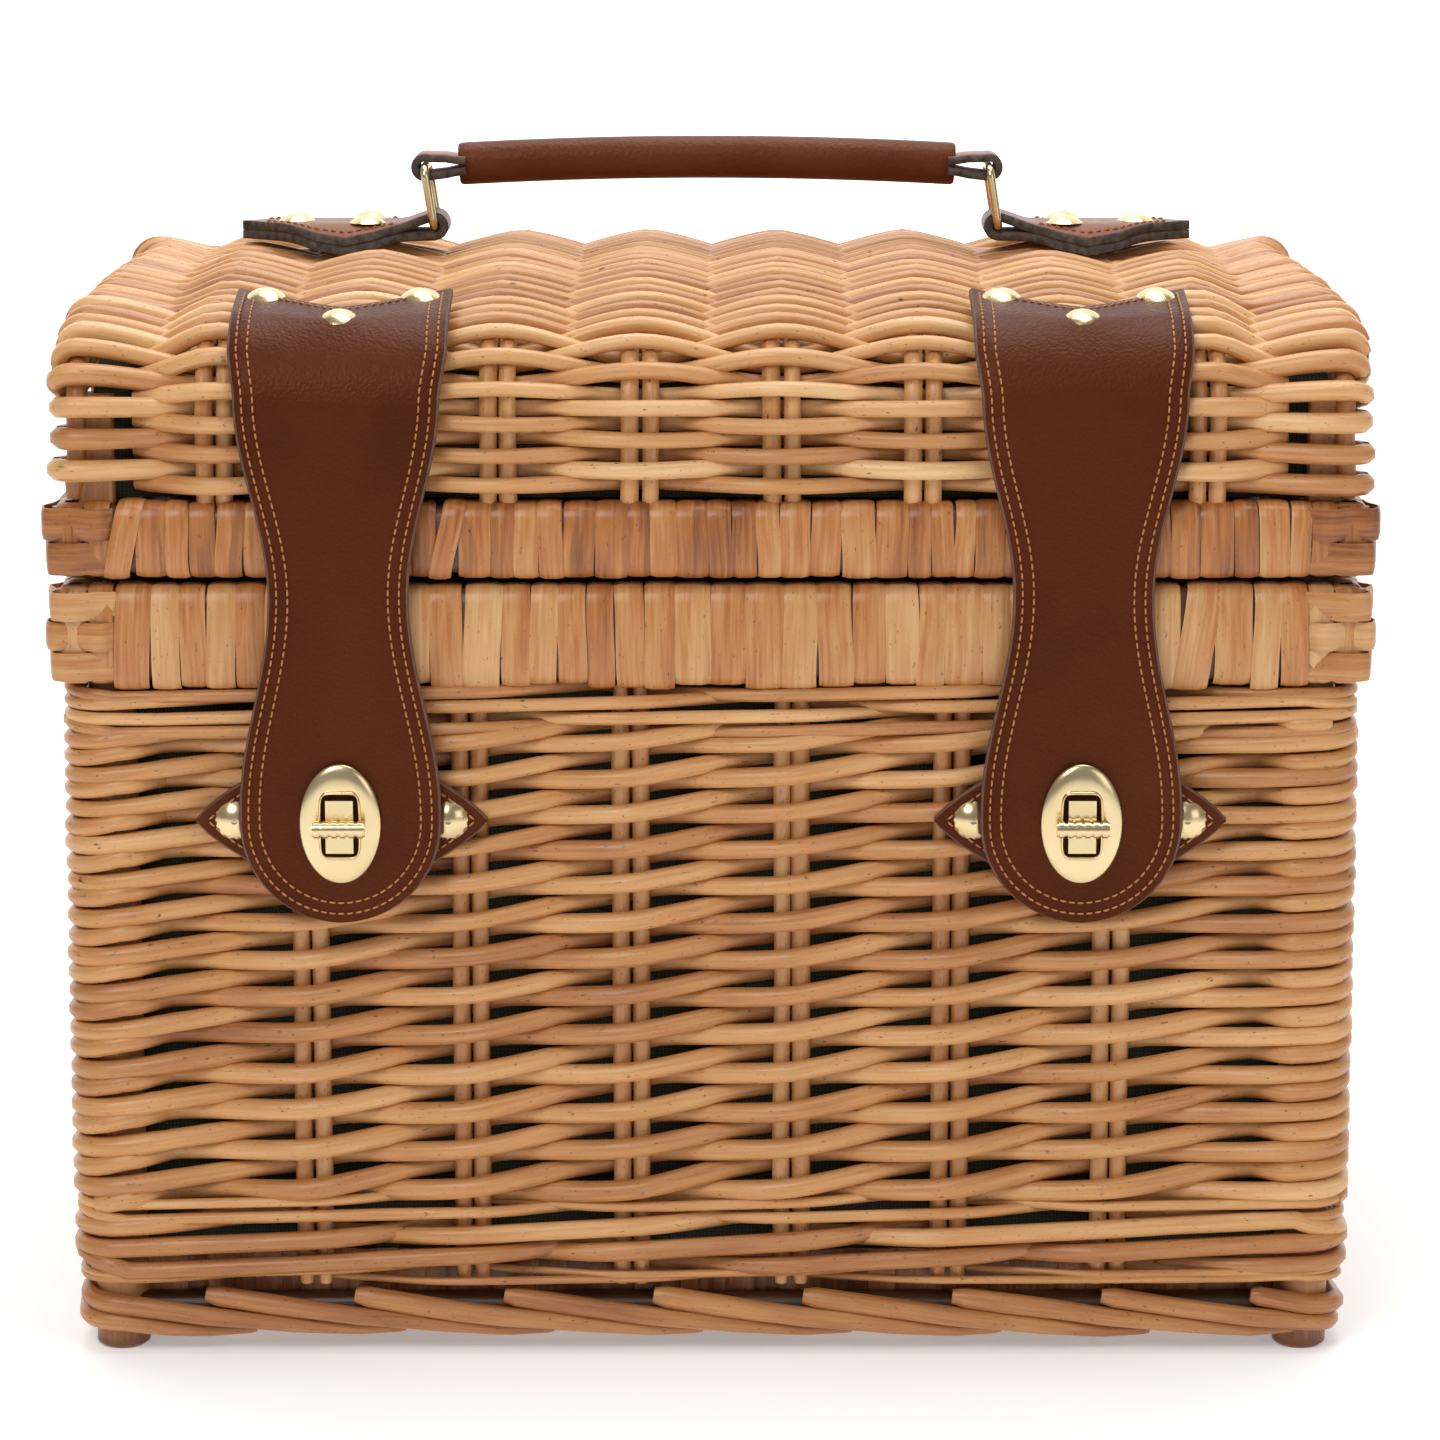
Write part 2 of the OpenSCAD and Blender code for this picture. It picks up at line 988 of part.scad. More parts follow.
module handle_eyes(r, w) {
  back()
    for (sx = [-1, 1])
      translate([high_bar_x(sx), w / 2, bar_z])
        rotate([90, 0, 0])
          cylinder(r = r, h = w);
}

module handle_grip() {
  color(saddle_leather)
    on_arch()
      arch_sweep(grip_l / 2)
        translate([arch_r, 0])
          difference() {
            circle(d = grip_d);
            square([strap_core_t + 2 * gap, grip_hole_w + 2 * gap], center = true);
          }
}

corner_post(-1, -1);  // corner_post_front_left
corner_post(1, -1);  // corner_post_front_right
corner_post(-1, 1);  // corner_post_back_left
corner_post(1, 1);  // corner_post_back_right
bottom_border();
base_frame();
base_weave();
stakes_front_back(-1);  // stakes_front
stakes_front_back(1);  // stakes_back
stakes_side(-1);  // stakes_left
stakes_side(1);  // stakes_right
weave_front_back(-1);  // weave_front
weave_front_back(1);  // weave_back
weave_side(-1);  // weave_left
weave_side(1);  // weave_right
lower_wale();
upper_wale();
rim_core();
rim_wrap();
rim_corner_plaits();
lining();
catch_tab(-1);  // catch_tab_left
catch_tab(1);  // catch_tab_right
catch_rivets();
lock_post(-1);  // lock_post_left
lock_post(1);  // lock_post_right
hinge_leaf(-1, -1, hinge_leaf_h);  // hinge_leaf_basket_left
hinge_leaf(1, -1, hinge_leaf_h);  // hinge_leaf_basket_right
hinge_rivets(-1, hinge_leaf_h);  // hinge_rivets_basket
lid_rim_core();
lid_rim_wrap();
lid_corner_plaits();
lid_stakes();
lid_weave();
lid_bow(-1);  // lid_bow_left
lid_bow(1);  // lid_bow_right
lid_end(-1);  // lid_end_left
lid_end(1);  // lid_end_right
lid_lining();
hinge_leaf(-1, 1, lid_leaf_h);  // hinge_leaf_lid_left
hinge_leaf(1, 1, lid_leaf_h);  // hinge_leaf_lid_right
hinge_rivets(1, lid_leaf_h);  // hinge_rivets_lid
strap_head(-1);  // strap_head_left
strap_head(1);  // strap_head_right
strap_rivets();
handle_tab(-1);  // handle_tab_left
handle_tab(1);  // handle_tab_right
handle_tab_rivets();
strap(-1);  // strap_left
strap(1);  // strap_right
lock_plate(-1);  // lock_plate_left
lock_plate(1);  // lock_plate_right
toggle(-1);  // toggle_left
toggle(1);  // toggle_right
ring(-1);  // ring_left
ring(1);  // ring_right
handle_strap();
handle_grip();
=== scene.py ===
"""Looks of the willow picnic basket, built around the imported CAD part. Lengths inside are millimetres."""

import math

import bpy
import numpy as np
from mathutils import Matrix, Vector


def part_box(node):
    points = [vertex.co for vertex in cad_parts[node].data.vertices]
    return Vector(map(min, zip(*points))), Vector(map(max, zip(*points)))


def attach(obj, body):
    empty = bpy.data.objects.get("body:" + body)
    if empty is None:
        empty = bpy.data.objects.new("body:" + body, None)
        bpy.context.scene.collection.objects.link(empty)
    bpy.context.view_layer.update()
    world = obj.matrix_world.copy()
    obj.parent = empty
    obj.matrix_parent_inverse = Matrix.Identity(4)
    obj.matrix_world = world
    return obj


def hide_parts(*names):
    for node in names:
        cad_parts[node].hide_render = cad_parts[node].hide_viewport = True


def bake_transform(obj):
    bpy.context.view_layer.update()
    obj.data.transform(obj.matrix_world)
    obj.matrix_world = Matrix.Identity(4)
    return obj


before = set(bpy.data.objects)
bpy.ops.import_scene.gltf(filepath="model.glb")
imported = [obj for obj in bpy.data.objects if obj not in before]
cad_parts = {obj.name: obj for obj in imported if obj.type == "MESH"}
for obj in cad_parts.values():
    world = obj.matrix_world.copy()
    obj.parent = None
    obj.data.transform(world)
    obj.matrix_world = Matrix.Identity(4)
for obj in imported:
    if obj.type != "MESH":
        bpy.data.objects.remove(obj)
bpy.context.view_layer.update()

MM = 0.001
FRONT, BACK = -1, 1
LEFT, RIGHT = -1, 1
UP = (0.0, 0.0, 1.0)


def limits(node):
    """Lowest and highest corner of a CAD node, in millimetres."""
    low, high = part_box(node)
    return np.array(low) / MM, np.array(high) / MM


def smooth(n, step, size, rng):
    """A slowly wandering row of n values within plus and minus size."""
    knots = np.arange(-1, n // step + 3) * step
    values = rng.uniform(-size, size, len(knots))
    return np.interp(np.arange(n), knots, values)


def eased(x, keys, kink=0.0):
    """Values at x of a curve through (place, value) keys. It is level at the keys, or bends with kink."""
    places, values = np.array(keys, float).T
    i = np.clip(np.searchsorted(places, x, side="right") - 1, 0, len(places) - 2)
    t = np.clip((x - places[i]) / (places[i + 1] - places[i]), 0, 1)
    share = (1 - kink) * (1 - np.cos(np.pi * t)) / 2 + kink * t
    return values[i] + (values[i + 1] - values[i]) * share


def circle(sides):
    angles = 2 * np.pi * (np.arange(sides) + 0.5) / sides
    return np.stack([np.cos(angles), np.sin(angles)], 1)


def unit(rows):
    return rows / np.linalg.norm(rows, axis=1)[:, None]


def xyz(x, y, z):
    """Points from their coordinates. A single number stands for every point."""
    return np.stack(np.broadcast_arrays(x, y, z), 1).astype(float)


def travelled(points):
    """Length along a line at each of its points."""
    return np.concatenate([[0], np.cumsum(np.linalg.norm(np.diff(points, axis=0), axis=1))])


def strip_ring(half, crown, under, edge, over):
    """Cross-section of a split-willow strip with a rounded outer face."""
    return (-half, under), (half, under), (half, edge), (crown, over), (-crown, over), (-half, edge)


def at_length(s, lengths, points):
    """The columns of points at length s along their line."""
    return [np.interp(s, lengths, column) for column in points.T]


def arc(middle, r, start, end, count):
    """Points round middle from one angle in degrees to another. r may be a pair, for across and up."""
    a = np.radians(np.linspace(start, end, count))
    return np.stack([np.cos(a), np.sin(a)], 1) * r + middle


def rounded_loop(x, y, r, z):
    """Level loop of half widths x and y, with rounded corners."""
    turns = ((1, -1, -90), (1, 1, 0), (-1, 1, 90), (-1, -1, 180))
    corners = [arc((cx * (x - r), cy * (y - r)), r, start, start + 90, 5) for cx, cy, start in turns]
    return xyz(*np.concatenate(corners).T, z)


class Strands:
    """Collects swept strands into one mesh. Each point keeps its place on its strand for the materials."""

    def __init__(self, seed):
        self.rng = np.random.default_rng(seed)
        self.points, self.places, self.tints = [], [], []
        self.faces, self.slots = [], []
        self.count = 0

    def add(self, path, ring, up=UP, tint=0.5, closed=False, slot=0, along=None, strip_caps=False):
        """Sweeps ring, points of (across, up), along path.

        slot is a material slot, or one for each ring side. along moves points along the path.
        strip_caps closes the ends of a slab_ring shape in strips.
        """
        path = np.asarray(path, float)
        n = len(path)
        if closed:
            tangent = np.roll(path, -1, 0) - np.roll(path, 1, 0)
        else:
            tangent = np.gradient(path, axis=0)
        tangent = unit(tangent)
        up = np.broadcast_to(np.asarray(up, float), path.shape)
        up = unit(up - (up * tangent).sum(1)[:, None] * tangent)
        across = np.cross(tangent, up)
        ring = np.asarray(ring, float)
        if ring.ndim == 2:
            ring = np.broadcast_to(ring, (n, *ring.shape))
        m = ring.shape[1]
        points = path[:, None] + across[:, None] * ring[..., :1] + up[:, None] * ring[..., 1:]
        if along is not None:
            points = points + tangent[:, None] * along[..., None]
        length = travelled(path) + self.rng.uniform(0, 5000)
        place = np.concatenate([ring, np.broadcast_to(length[:, None, None], (n, m, 1))], 2)
        index = self.count + np.arange(n * m).reshape(n, m)
        after = np.roll(index, -1, 1)
        if closed:
            quads = np.stack([index, np.roll(index, -1, 0), np.roll(after, -1, 0), after], -1)
        else:
            quads = np.stack([index[:-1], index[1:], after[1:], after[:-1]], -1)
        column = np.broadcast_to(np.asarray(slot), (m,))
        self.faces += quads.reshape(-1, 4).tolist()
        self.slots += np.tile(column, len(quads)).tolist()
        if not closed:
            if strip_caps:
                for k in range(m // 2 - 1):
                    ends = (k, k + 1, m - 2 - k, m - 1 - k)
                    self.faces += [index[0][list(ends)].tolist(), index[-1][list(ends[::-1])].tolist()]
                self.slots += [int(column[0])] * (m - 2)
            else:
                self.faces += [index[0].tolist(), index[-1][::-1].tolist()]
                self.slots += [int(column[0]), int(column[0])]
        tints = np.broadcast_to(np.asarray(tint, float).reshape(-1, 1), (n, m))
        self.points.append(points.reshape(-1, 3))
        self.places.append(place.reshape(-1, 3))
        self.tints.append(tints.reshape(-1))
        self.count += n * m

    def loft(self, points, tint=0.5, slot=0):
        """Joins closed loops, an array of (loop, point, xyz), into one surface."""
        n, m = points.shape[:2]
        index = self.count + np.arange(n * m).reshape(n, m)
        after = np.roll(index, -1, 1)
        quads = np.stack([index[:-1], index[1:], after[1:], after[:-1]], -1).reshape(-1, 4)
        self.faces += quads.tolist()
        self.slots += [slot] * len(quads)
        self.points.append(points.reshape(-1, 3))
        self.places.append(points.reshape(-1, 3))
        self.tints.append(np.full(n * m, tint))
        self.count += n * m

    def rod(self, path, radius, up=UP, tint=0.5, sides=8, closed=False, wobble=0.05, slot=0):
        """A round strand with a slightly uneven radius and blunt ends."""
        n = len(path)
        radii = np.broadcast_to(np.asarray(radius, float), (n,)) * (1 + smooth(n, 5, wobble, self.rng))
        if not closed:
            radii = radii.copy()
            radii[[0, -1]] *= 0.72
        self.add(path, circle(sides) * radii[:, None, None], up, tint, closed, slot)

    def build(self, name, body, materials, replaced=(), sharp=50):
        """Makes the object. body is the CAD body it rides on, or None for a piece that rides on no body."""
        mesh = bpy.data.meshes.new(name)
        points = np.concatenate(self.points) + (0, middle_y, 0)
        mesh.from_pydata((points * MM).tolist(), [], self.faces)
        mesh.attributes.new("strand", "FLOAT_VECTOR", "POINT").data.foreach_set(
            "vector", np.concatenate(self.places).astype(np.float32).ravel()
        )
        mesh.attributes.new("tint", "FLOAT", "POINT").data.foreach_set(
            "value", np.concatenate(self.tints).astype(np.float32)
        )
        for item in materials:
            mesh.materials.append(item)
        mesh.polygons.foreach_set("material_index", self.slots)
        mesh.polygons.foreach_set("use_smooth", [True] * len(self.faces))
        mesh.set_sharp_from_angle(angle=math.radians(sharp))
        mesh.update()
        made = bpy.data.objects.new(name, mesh)
        bpy.context.scene.collection.objects.link(made)
        if body:
            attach(made, body)
        if replaced:
            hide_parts(*replaced)
        return made


wale_low, wale_high = limits("upper_wale")
middle_y = (wale_low[1] + wale_high[1]) / 2

# ---- Camera, light and floor ----

camera_data = bpy.data.cameras.new("camera")
camera_data.lens = 125
camera_data.sensor_width = 36
camera_data.dof.use_dof = False
camera = bpy.data.objects.new("camera", camera_data)
camera.location = (0.0028, -1.655, 0.499)
pitch = math.radians(11)
camera.rotation_euler = (math.pi / 2 - pitch, 0, 0)
bpy.context.scene.collection.objects.link(camera)
bpy.context.scene.camera = camera


def area_light(name, place, aim, size, power):
    data = bpy.data.lights.new(name, "AREA")
    data.shape = "RECTANGLE"
    data.size, data.size_y = size
    data.energy = power
    lamp = bpy.data.objects.new(name, data)
    lamp.location = place
    lamp.rotation_euler = (Vector(aim) - Vector(place)).to_track_quat("-Z", "Y").to_euler()
    bpy.context.scene.collection.objects.link(lamp)


area_light("key_light", (-0.7, -1.6, 1.7), (0, 0, 0.2), (0.9, 0.9), 18)
area_light("fill_light", (1.3, -1.5, 0.8), (0, 0, 0.2), (1.0, 1.0), 4)
area_light("top_light", (0.1, 0.1, 1.7), (0, 0, 0.2), (1.3, 0.9), 17)
world = bpy.data.worlds.new("studio")
world.use_nodes = True
world.node_tree.nodes["Background"].inputs["Color"].default_value = (1, 1, 1, 1)
world.node_tree.nodes["Background"].inputs["Strength"].default_value = 0.28
bpy.context.scene.world = world
bpy.context.scene.view_settings.view_transform = "Standard"


# ---- Materials ----


class Shader:
    """A principled material with a few helpers for its nodes."""

    def __init__(self, name, **values):
        self.material = bpy.data.materials.new(name)
        self.material.use_nodes = True
        self.nodes = self.material.node_tree.nodes
        self.links = self.material.node_tree.links
        self.surface = self.nodes["Principled BSDF"]
        for key, value in values.items():
            self.surface.inputs[key.replace("_", " ")].default_value = value

    def node(self, kind, values=(), **settings):
        made = self.nodes.new("ShaderNode" + kind)
        for key, value in settings.items():
            setattr(made, key, value)
        for key, value in dict(values).items():
            if isinstance(value, bpy.types.NodeSocket):
                self.links.new(value, made.inputs[key])
            else:
                made.inputs[key].default_value = value
        return made

    def math(self, operation, a, b, c=0.0):
        return self.node("Math", {0: a, 1: b, 2: c}, operation=operation).outputs[0]

    def noise(self, vector, scale, stretch=(1, 1, 1), detail=3.0, rough=0.55):
        moved = self.node("Mapping", {"Vector": vector, "Scale": stretch}).outputs[0]
        found = self.node("TexNoise", {"Vector": moved, "Scale": scale, "Detail": detail, "Roughness": rough})
        return found.outputs["Fac"]

    def ramp(self, value, stops):
        made = self.node("ValToRGB", {"Fac": value})
        band = made.color_ramp
        while len(band.elements) < len(stops):
            band.elements.new(0.5)
        for element, (place, colour) in zip(band.elements, stops):
            element.position = place
            element.color = (*colour, 1)
        return made.outputs["Color"]

    def set(self, key, socket):
        self.links.new(socket, self.surface.inputs[key])

    def bump(self, height, strength, distance):
        made = self.node("Bump", {"Height": height, "Strength": strength, "Distance": distance})
        self.set("Normal", made.outputs[0])


def willow_material(name, stops, knots, grain=1.0):
    """Peeled willow: long streaks, soft blotches and a few dark knots along each strand."""
    s = Shader(name)
    place = s.node("Attribute", attribute_name="strand").outputs["Vector"]
    tint = s.node("Attribute", attribute_name="tint").outputs["Fac"]
    streak = s.noise(place, 1.0, (0.9, 0.9, 0.045), 4.0, 0.6)
    blotch = s.noise(place, 1.0, (0.1, 0.1, 0.02), 2.0)
    shade = s.math("MULTIPLY_ADD", streak, 0.55 * grain, tint)
    shade = s.math("MULTIPLY_ADD", blotch, 0.62, shade)
    shade = s.math("SUBTRACT", shade, 0.31 + 0.275 * grain)
    colour = s.ramp(shade, stops)
    speck = s.noise(place, 1.0, (0.42, 0.42, 0.2), 2.0, 0.7)
    fine = s.noise(place, 1.0, (1.3, 1.3, 0.55), 1.0, 0.6)
    spots = s.math("MULTIPLY", s.math("SUBTRACT", speck, knots), 9.0)
    dots = s.math("MULTIPLY", s.math("SUBTRACT", fine, knots), 7.0)
    spots = s.node("Clamp", {"Value": s.math("MAXIMUM", spots, dots)}).outputs[0]
    knot = {0: spots, 6: colour, 7: (0.075, 0.028, 0.012, 1)}
    s.set("Base Color", s.node("Mix", knot, data_type="RGBA").outputs[2])
    s.set("Roughness", s.math("MULTIPLY_ADD", streak, 0.25, 0.23))
    s.bump(streak, 0.35, 0.0004)
    return s.material


WILLOW_STOPS = (
    (0.0, (0.17, 0.055, 0.018)),
    (0.25, (0.40, 0.155, 0.052)),
    (0.5, (0.56, 0.262, 0.090)),
    (0.75, (0.68, 0.37, 0.150)),
    (1.0, (0.80, 0.52, 0.26)),
)
SKEIN_STOPS = (
    (0.0, (0.22, 0.066, 0.016)),
    (0.25, (0.45, 0.168, 0.045)),
    (0.5, (0.58, 0.30, 0.115)),
    (0.75, (0.69, 0.42, 0.20)),
    (1.0, (0.80, 0.58, 0.35)),
)
# Darker copy of the willow colours, a painted shade: the rim cores and the ring inside the bottom border are
# seen only in the gaps between strips and rods, where shade falls.
SHADED_CORE_STOPS = (
    (0.0, (0.05, 0.02, 0.008)),
    (0.5, (0.12, 0.05, 0.02)),
    (1.0, (0.2, 0.09, 0.04)),
)
willow = willow_material("willow", WILLOW_STOPS, 0.68)
skein = willow_material("skein", SKEIN_STOPS, 0.70, 1.2)
core_willow = willow_material("core_willow", SHADED_CORE_STOPS, 0.8)


def leather_material(name, dark, light, scale):
    s = Shader(name, IOR=1.4, Specular_IOR_Level=0.3, Specular_Tint=(1.0, 0.55, 0.35, 1.0))
    place = s.node("TexCoord").outputs["Object"]
    grain = s.node("TexVoronoi", {"Vector": place, "Scale": scale}).outputs["Distance"]
    cloud = s.noise(place, 22.0, detail=4.0)
    fine = s.noise(place, scale * 0.7, detail=2.0)
    colour = s.ramp(cloud, ((0.3, dark), (0.7, light)))
    s.set("Base Color", colour)
    s.set("Roughness", s.math("MULTIPLY_ADD", fine, 0.22, 0.30))
    s.bump(s.math("MULTIPLY_ADD", fine, 0.5, grain), 0.45, 0.0003)
    return s.material


def plain_material(name, dark, light, scale, rough, metal=0.0, bumps=0.0):
    s = Shader(name, Metallic=metal)
    place = s.node("TexCoord").outputs["Object"]
    cloud = s.noise(place, scale, detail=3.0)
    s.set("Base Color", s.ramp(cloud, ((0.3, dark), (0.7, light))))
    s.set("Roughness", s.math("MULTIPLY_ADD", cloud, 0.12, rough - 0.06))
    if bumps:
        s.bump(cloud, bumps, 0.0004)
    return s.material


def cloth_material(name):
    s = Shader(name, Roughness=0.9)
    place = s.node("TexCoord").outputs["Object"]
    warp = s.node("TexWave", {"Vector": place, "Scale": 260.0}, bands_direction="X").outputs["Fac"]
    weft = s.node("TexWave", {"Vector": place, "Scale": 260.0}, bands_direction="Z").outputs["Fac"]
    weave = s.math("MULTIPLY", warp, weft)
    s.set("Base Color", s.ramp(weave, ((0.0, (0.022, 0.024, 0.012)), (1.0, (0.065, 0.07, 0.04)))))
    s.bump(weave, 0.3, 0.0003)
    return s.material


leather = leather_material("strap_leather", (0.061, 0.0125, 0.0036), (0.084, 0.0182, 0.0054), 900.0)
grip_leather = leather_material("handle_leather", (0.09, 0.023, 0.010), (0.13, 0.034, 0.015), 700.0)
edge_leather = plain_material("leather_edge", (0.025, 0.018, 0.014), (0.11, 0.085, 0.065), 420.0, 0.8,
                              bumps=0.4)
strap_edge = plain_material("strap_edge", (0.10, 0.045, 0.026), (0.17, 0.08, 0.05), 300.0, 0.7)
suede = plain_material("leather_back", (0.20, 0.10, 0.075), (0.28, 0.15, 0.115), 260.0, 0.8, bumps=0.3)
thread = plain_material("thread", (0.36, 0.14, 0.04), (0.48, 0.20, 0.06), 500.0, 0.6)
tab_leather = leather_material("tab_leather", (0.19, 0.075, 0.05), (0.26, 0.11, 0.078), 800.0)
brass = plain_material("brass", (0.70, 0.55, 0.30), (0.77, 0.62, 0.36), 30.0, 0.24, metal=1.0)
cloth = cloth_material("lining_cloth")


def stage_plane(name, size, place, turn, glow):
    """A plain pale plane that glows a little, for the floor and the backdrop."""
    s = Shader(name, Roughness=0.7, Base_Color=(0.88, 0.88, 0.88, 1), Emission_Color=(1, 1, 1, 1))
    s.surface.inputs["Emission Strength"].default_value = glow
    bpy.ops.mesh.primitive_plane_add(size=size, location=place, rotation=(turn, 0, 0))
    plane = bpy.context.object
    plane.name = name
    plane.data.materials.append(s.material)


stage_plane("floor", 9, (0, 0, 0), 0, 0.3)
stage_plane("backdrop", 9, (0, 3.2, 4.4), math.pi / 2, 1.0)

# ---- Basket walls ----

post_low, post_high = limits("corner_post_front_right")
post_x = (post_low[0] + post_high[0]) / 2
post_y = middle_y - (post_low[1] + post_high[1]) / 2
post_r = (post_high[0] - post_low[0]) / 2
stake_low, stake_high = limits("stakes_front")
stake_y = middle_y - (stake_low[1] + stake_high[1]) / 2
stake_r = (stake_high[1] - stake_low[1]) / 2 + 0.5
side_low, side_high = limits("stakes_right")
corner_r = stake_y - post_y
FRONT_PAIRS, SIDE_PAIRS = 6, 4
PAIR_WIDTH = 9.8
pair_step_x = (stake_high[0] - stake_low[0] - PAIR_WIDTH) / (FRONT_PAIRS - 1)
pair_step_y = (side_high[1] - side_low[1] - PAIR_WIDTH) / (SIDE_PAIRS - 1)
weave_low = limits("weave_front")[0]
lower_low = limits("lower_wale")[0]
border_low, border_high = limits("bottom_border")


def wall_loop():
    """The stakes' line from the front left corner's middle round the basket: lengths, points, directions."""
    points, normals = [], []
    turns = ((-1, -1, 225, 270), (1, -1, 270, 360), (1, 1, 0, 90), (-1, 1, 90, 180), (-1, -1, 180, 225))
    for cx, cy, low, high in turns:
        normals.append(arc((0, 0), 1, low, high, 24))
        points.append(corner_r * normals[-1] + (cx * post_x, cy * post_y))
    points = np.concatenate(points)
    return travelled(points), points, np.concatenate(normals)


loop_s, loop_points, loop_normals = wall_loop()
loop_len = loop_s[-1]


def on_loop(s, depth, z):
    """Points at length s round the wall, depth outwards from the stakes' line, at height z."""
    s = np.mod(s, loop_len)
    x, y = at_length(s, loop_s, loop_points)
    out_x, out_y = at_length(s, loop_s, loop_normals)
    size = np.hypot(out_x, out_y)
    return xyz(x + out_x / size * depth, y + out_y / size * depth, z)


half_arc = corner_r * math.pi / 4
front_run, side_run = 2 * post_x, 2 * post_y
post_places, stakes = [], []
start = 0.0
for run, count, step in ((front_run, FRONT_PAIRS, pair_step_x), (side_run, SIDE_PAIRS, pair_step_y)) * 2:
    post_places.append(start)
    stakes.append((start, True))
    for i in range(count):
        stakes.append((start + half_arc + run / 2 + (i - (count - 1) / 2) * step, False))
    start += run + 2 * half_arc


def wall_steps(s0, s1, coarse=5.0):
    """Places from s0 to s1, closer together at the corner posts."""
    places = [np.arange(s0, s1, coarse), [s1]]
    for turn in (-1, 0, 1, 2):
        for post in post_places:
            places.append(np.arange(-22, 23, 2.2) + post + turn * loop_len)
    found = np.sort(np.concatenate(places))
    found = found[(found >= s0) & (found <= s1)]
    keep = np.concatenate([[True], np.diff(found) > 0.9])
    return found[keep]


LEVELS = 25
ROD_OUT = stake_r + 2.9
POST_OUT = 4.4
LEVEL_STEP, LEVEL_SHRINK = 6.45, 0.02
level_number = np.arange(-1, LEVELS + 2)
level_z = weave_low[2] + 2.2 + LEVEL_STEP * level_number - LEVEL_SHRINK * level_number * level_number


def climbing_rod(strands, first):
    """A rod that passes in front of one stake pair and behind the next, one level higher at each."""
    rng = strands.rng
    depth_keys, rise_keys = [], []
    for i in range(-1, LEVELS + 1):
        turn, k = divmod(first + i, len(stakes))
        s, post = stakes[k]
        s += turn * loop_len
        z = level_z[i + 1] + rng.uniform(-0.55, 0.55)
        outside = i % 2 == 0
        if post:
            depth_keys += [(s - 11, POST_OUT), (s + 11, POST_OUT)]
            if not outside:
                depth_keys.insert(-2, (s - 24, -4.6))
                depth_keys.append((s + 24, -4.6))
        else:
            depth_keys.append((s, (ROD_OUT if outside else -ROD_OUT) + rng.uniform(-0.2, 0.2)))
        rise_keys.append((s, z, outside))
    curve_s, curve_z = [], []
    for (s, z, outside), (s2, z2, _) in zip(rise_keys, rise_keys[1:]):
        shares = ((0, 0), (0.5, 0.62), (0.9, 0.92)) if outside else ((0, 0), (0.12, 0.42), (0.5, 0.68))
        for place, rise in shares:
            curve_s.append(s + place * (s2 - s))
            curve_z.append(z + rise * (z2 - z))
    s0 = rise_keys[0][0] + 1.5
    s1 = rise_keys[-1][0] - 1.5
    s = wall_steps(s0, s1)
    z = np.interp(s, curve_s, curve_z)
    z[1:-1] = (z[:-2] + 2 * z[1:-1] + z[2:]) / 4
    share = (s - s0) / (s1 - s0)
    swell = smooth(len(s), 7, 0.06, rng)
    radius = (rng.uniform(0.94, 1.04) + swell) * (3.4 - 0.55 * share)
    tint = rng.uniform(0.36, 0.66) + smooth(len(s), 14, 0.10, rng)
    strands.rod(on_loop(s, eased(s, depth_keys, 0.25), z), radius, UP, tint, 9)


WALLS = ("weave_front", "weave_right", "weave_back", "weave_left")
for part, wall in enumerate(WALLS):
    strands = Strands(100 + part)
    for first in range(part, len(stakes), len(WALLS)):
        climbing_rod(strands, first)
    strands.build(wall + "_rods", "basket", [willow], [wall])


WALE_POST_OUT = 4.6


def wale(strands, z, radius, slant, offset):
    """A rod right round the wall, before two stakes and behind one, slanted where it shows."""
    rng = strands.rng
    depth_keys, z_keys = [], []
    for k, (s, post) in enumerate(stakes + stakes[:3]):
        s += loop_len * (k >= len(stakes))
        inside = (k + offset) % 3 == 0 and not post
        if post:
            depth_keys += [(s - 11, WALE_POST_OUT), (s + 11, WALE_POST_OUT)]
        else:
            depth_keys.append((s, (-1 if inside else 1) * (stake_r + radius)))
        if (k + offset) % 3 == 0:
            z_keys += [(s - 9, slant), (s + 9, -slant)]
    s = wall_steps(-10, loop_len - 11)
    depth = eased(s, [(-30, WALE_POST_OUT)] + depth_keys)
    z_keys = [(p - loop_len, v) for p, v in z_keys if p > loop_len - 400 and p <= loop_len + 20] + z_keys
    z_keys.sort()
    lift = np.interp(s, [p for p, _ in z_keys], [v for _, v in z_keys])
    wander = smooth(len(s), 16, 0.5, rng)
    tint = rng.uniform(0.35, 0.68) + smooth(len(s), 22, 0.12, rng)
    strands.rod(on_loop(s, depth, z + lift + wander), radius, UP, tint, 8, closed=True)


strands = Strands(7)
for k in range(4):
    wale(strands, wale_low[2] + 2.2 + 3.9 * k, 2.1, 1.5, k)
strands.build("upper_wale_rods", "basket", [willow], ["upper_wale"])

strands = Strands(8)
LOWER_WALE = ((2.6, 2.9, 3.6), (7.4, 3.1, 4.0), (12.2, 3.0, 3.6), (17.4, 1.9, 1.8), (21.0, 1.7, 1.4))
for k, (height, radius, slant) in enumerate(LOWER_WALE):
    wale(strands, lower_low[2] + height, radius, slant, k)
for k, height in enumerate((-1.6, -4.0)):
    wale(strands, lower_low[2] + height, 1.3, 1.0, k + 1)
strands.build("lower_wale_rods", "basket", [willow], ["lower_wale"])

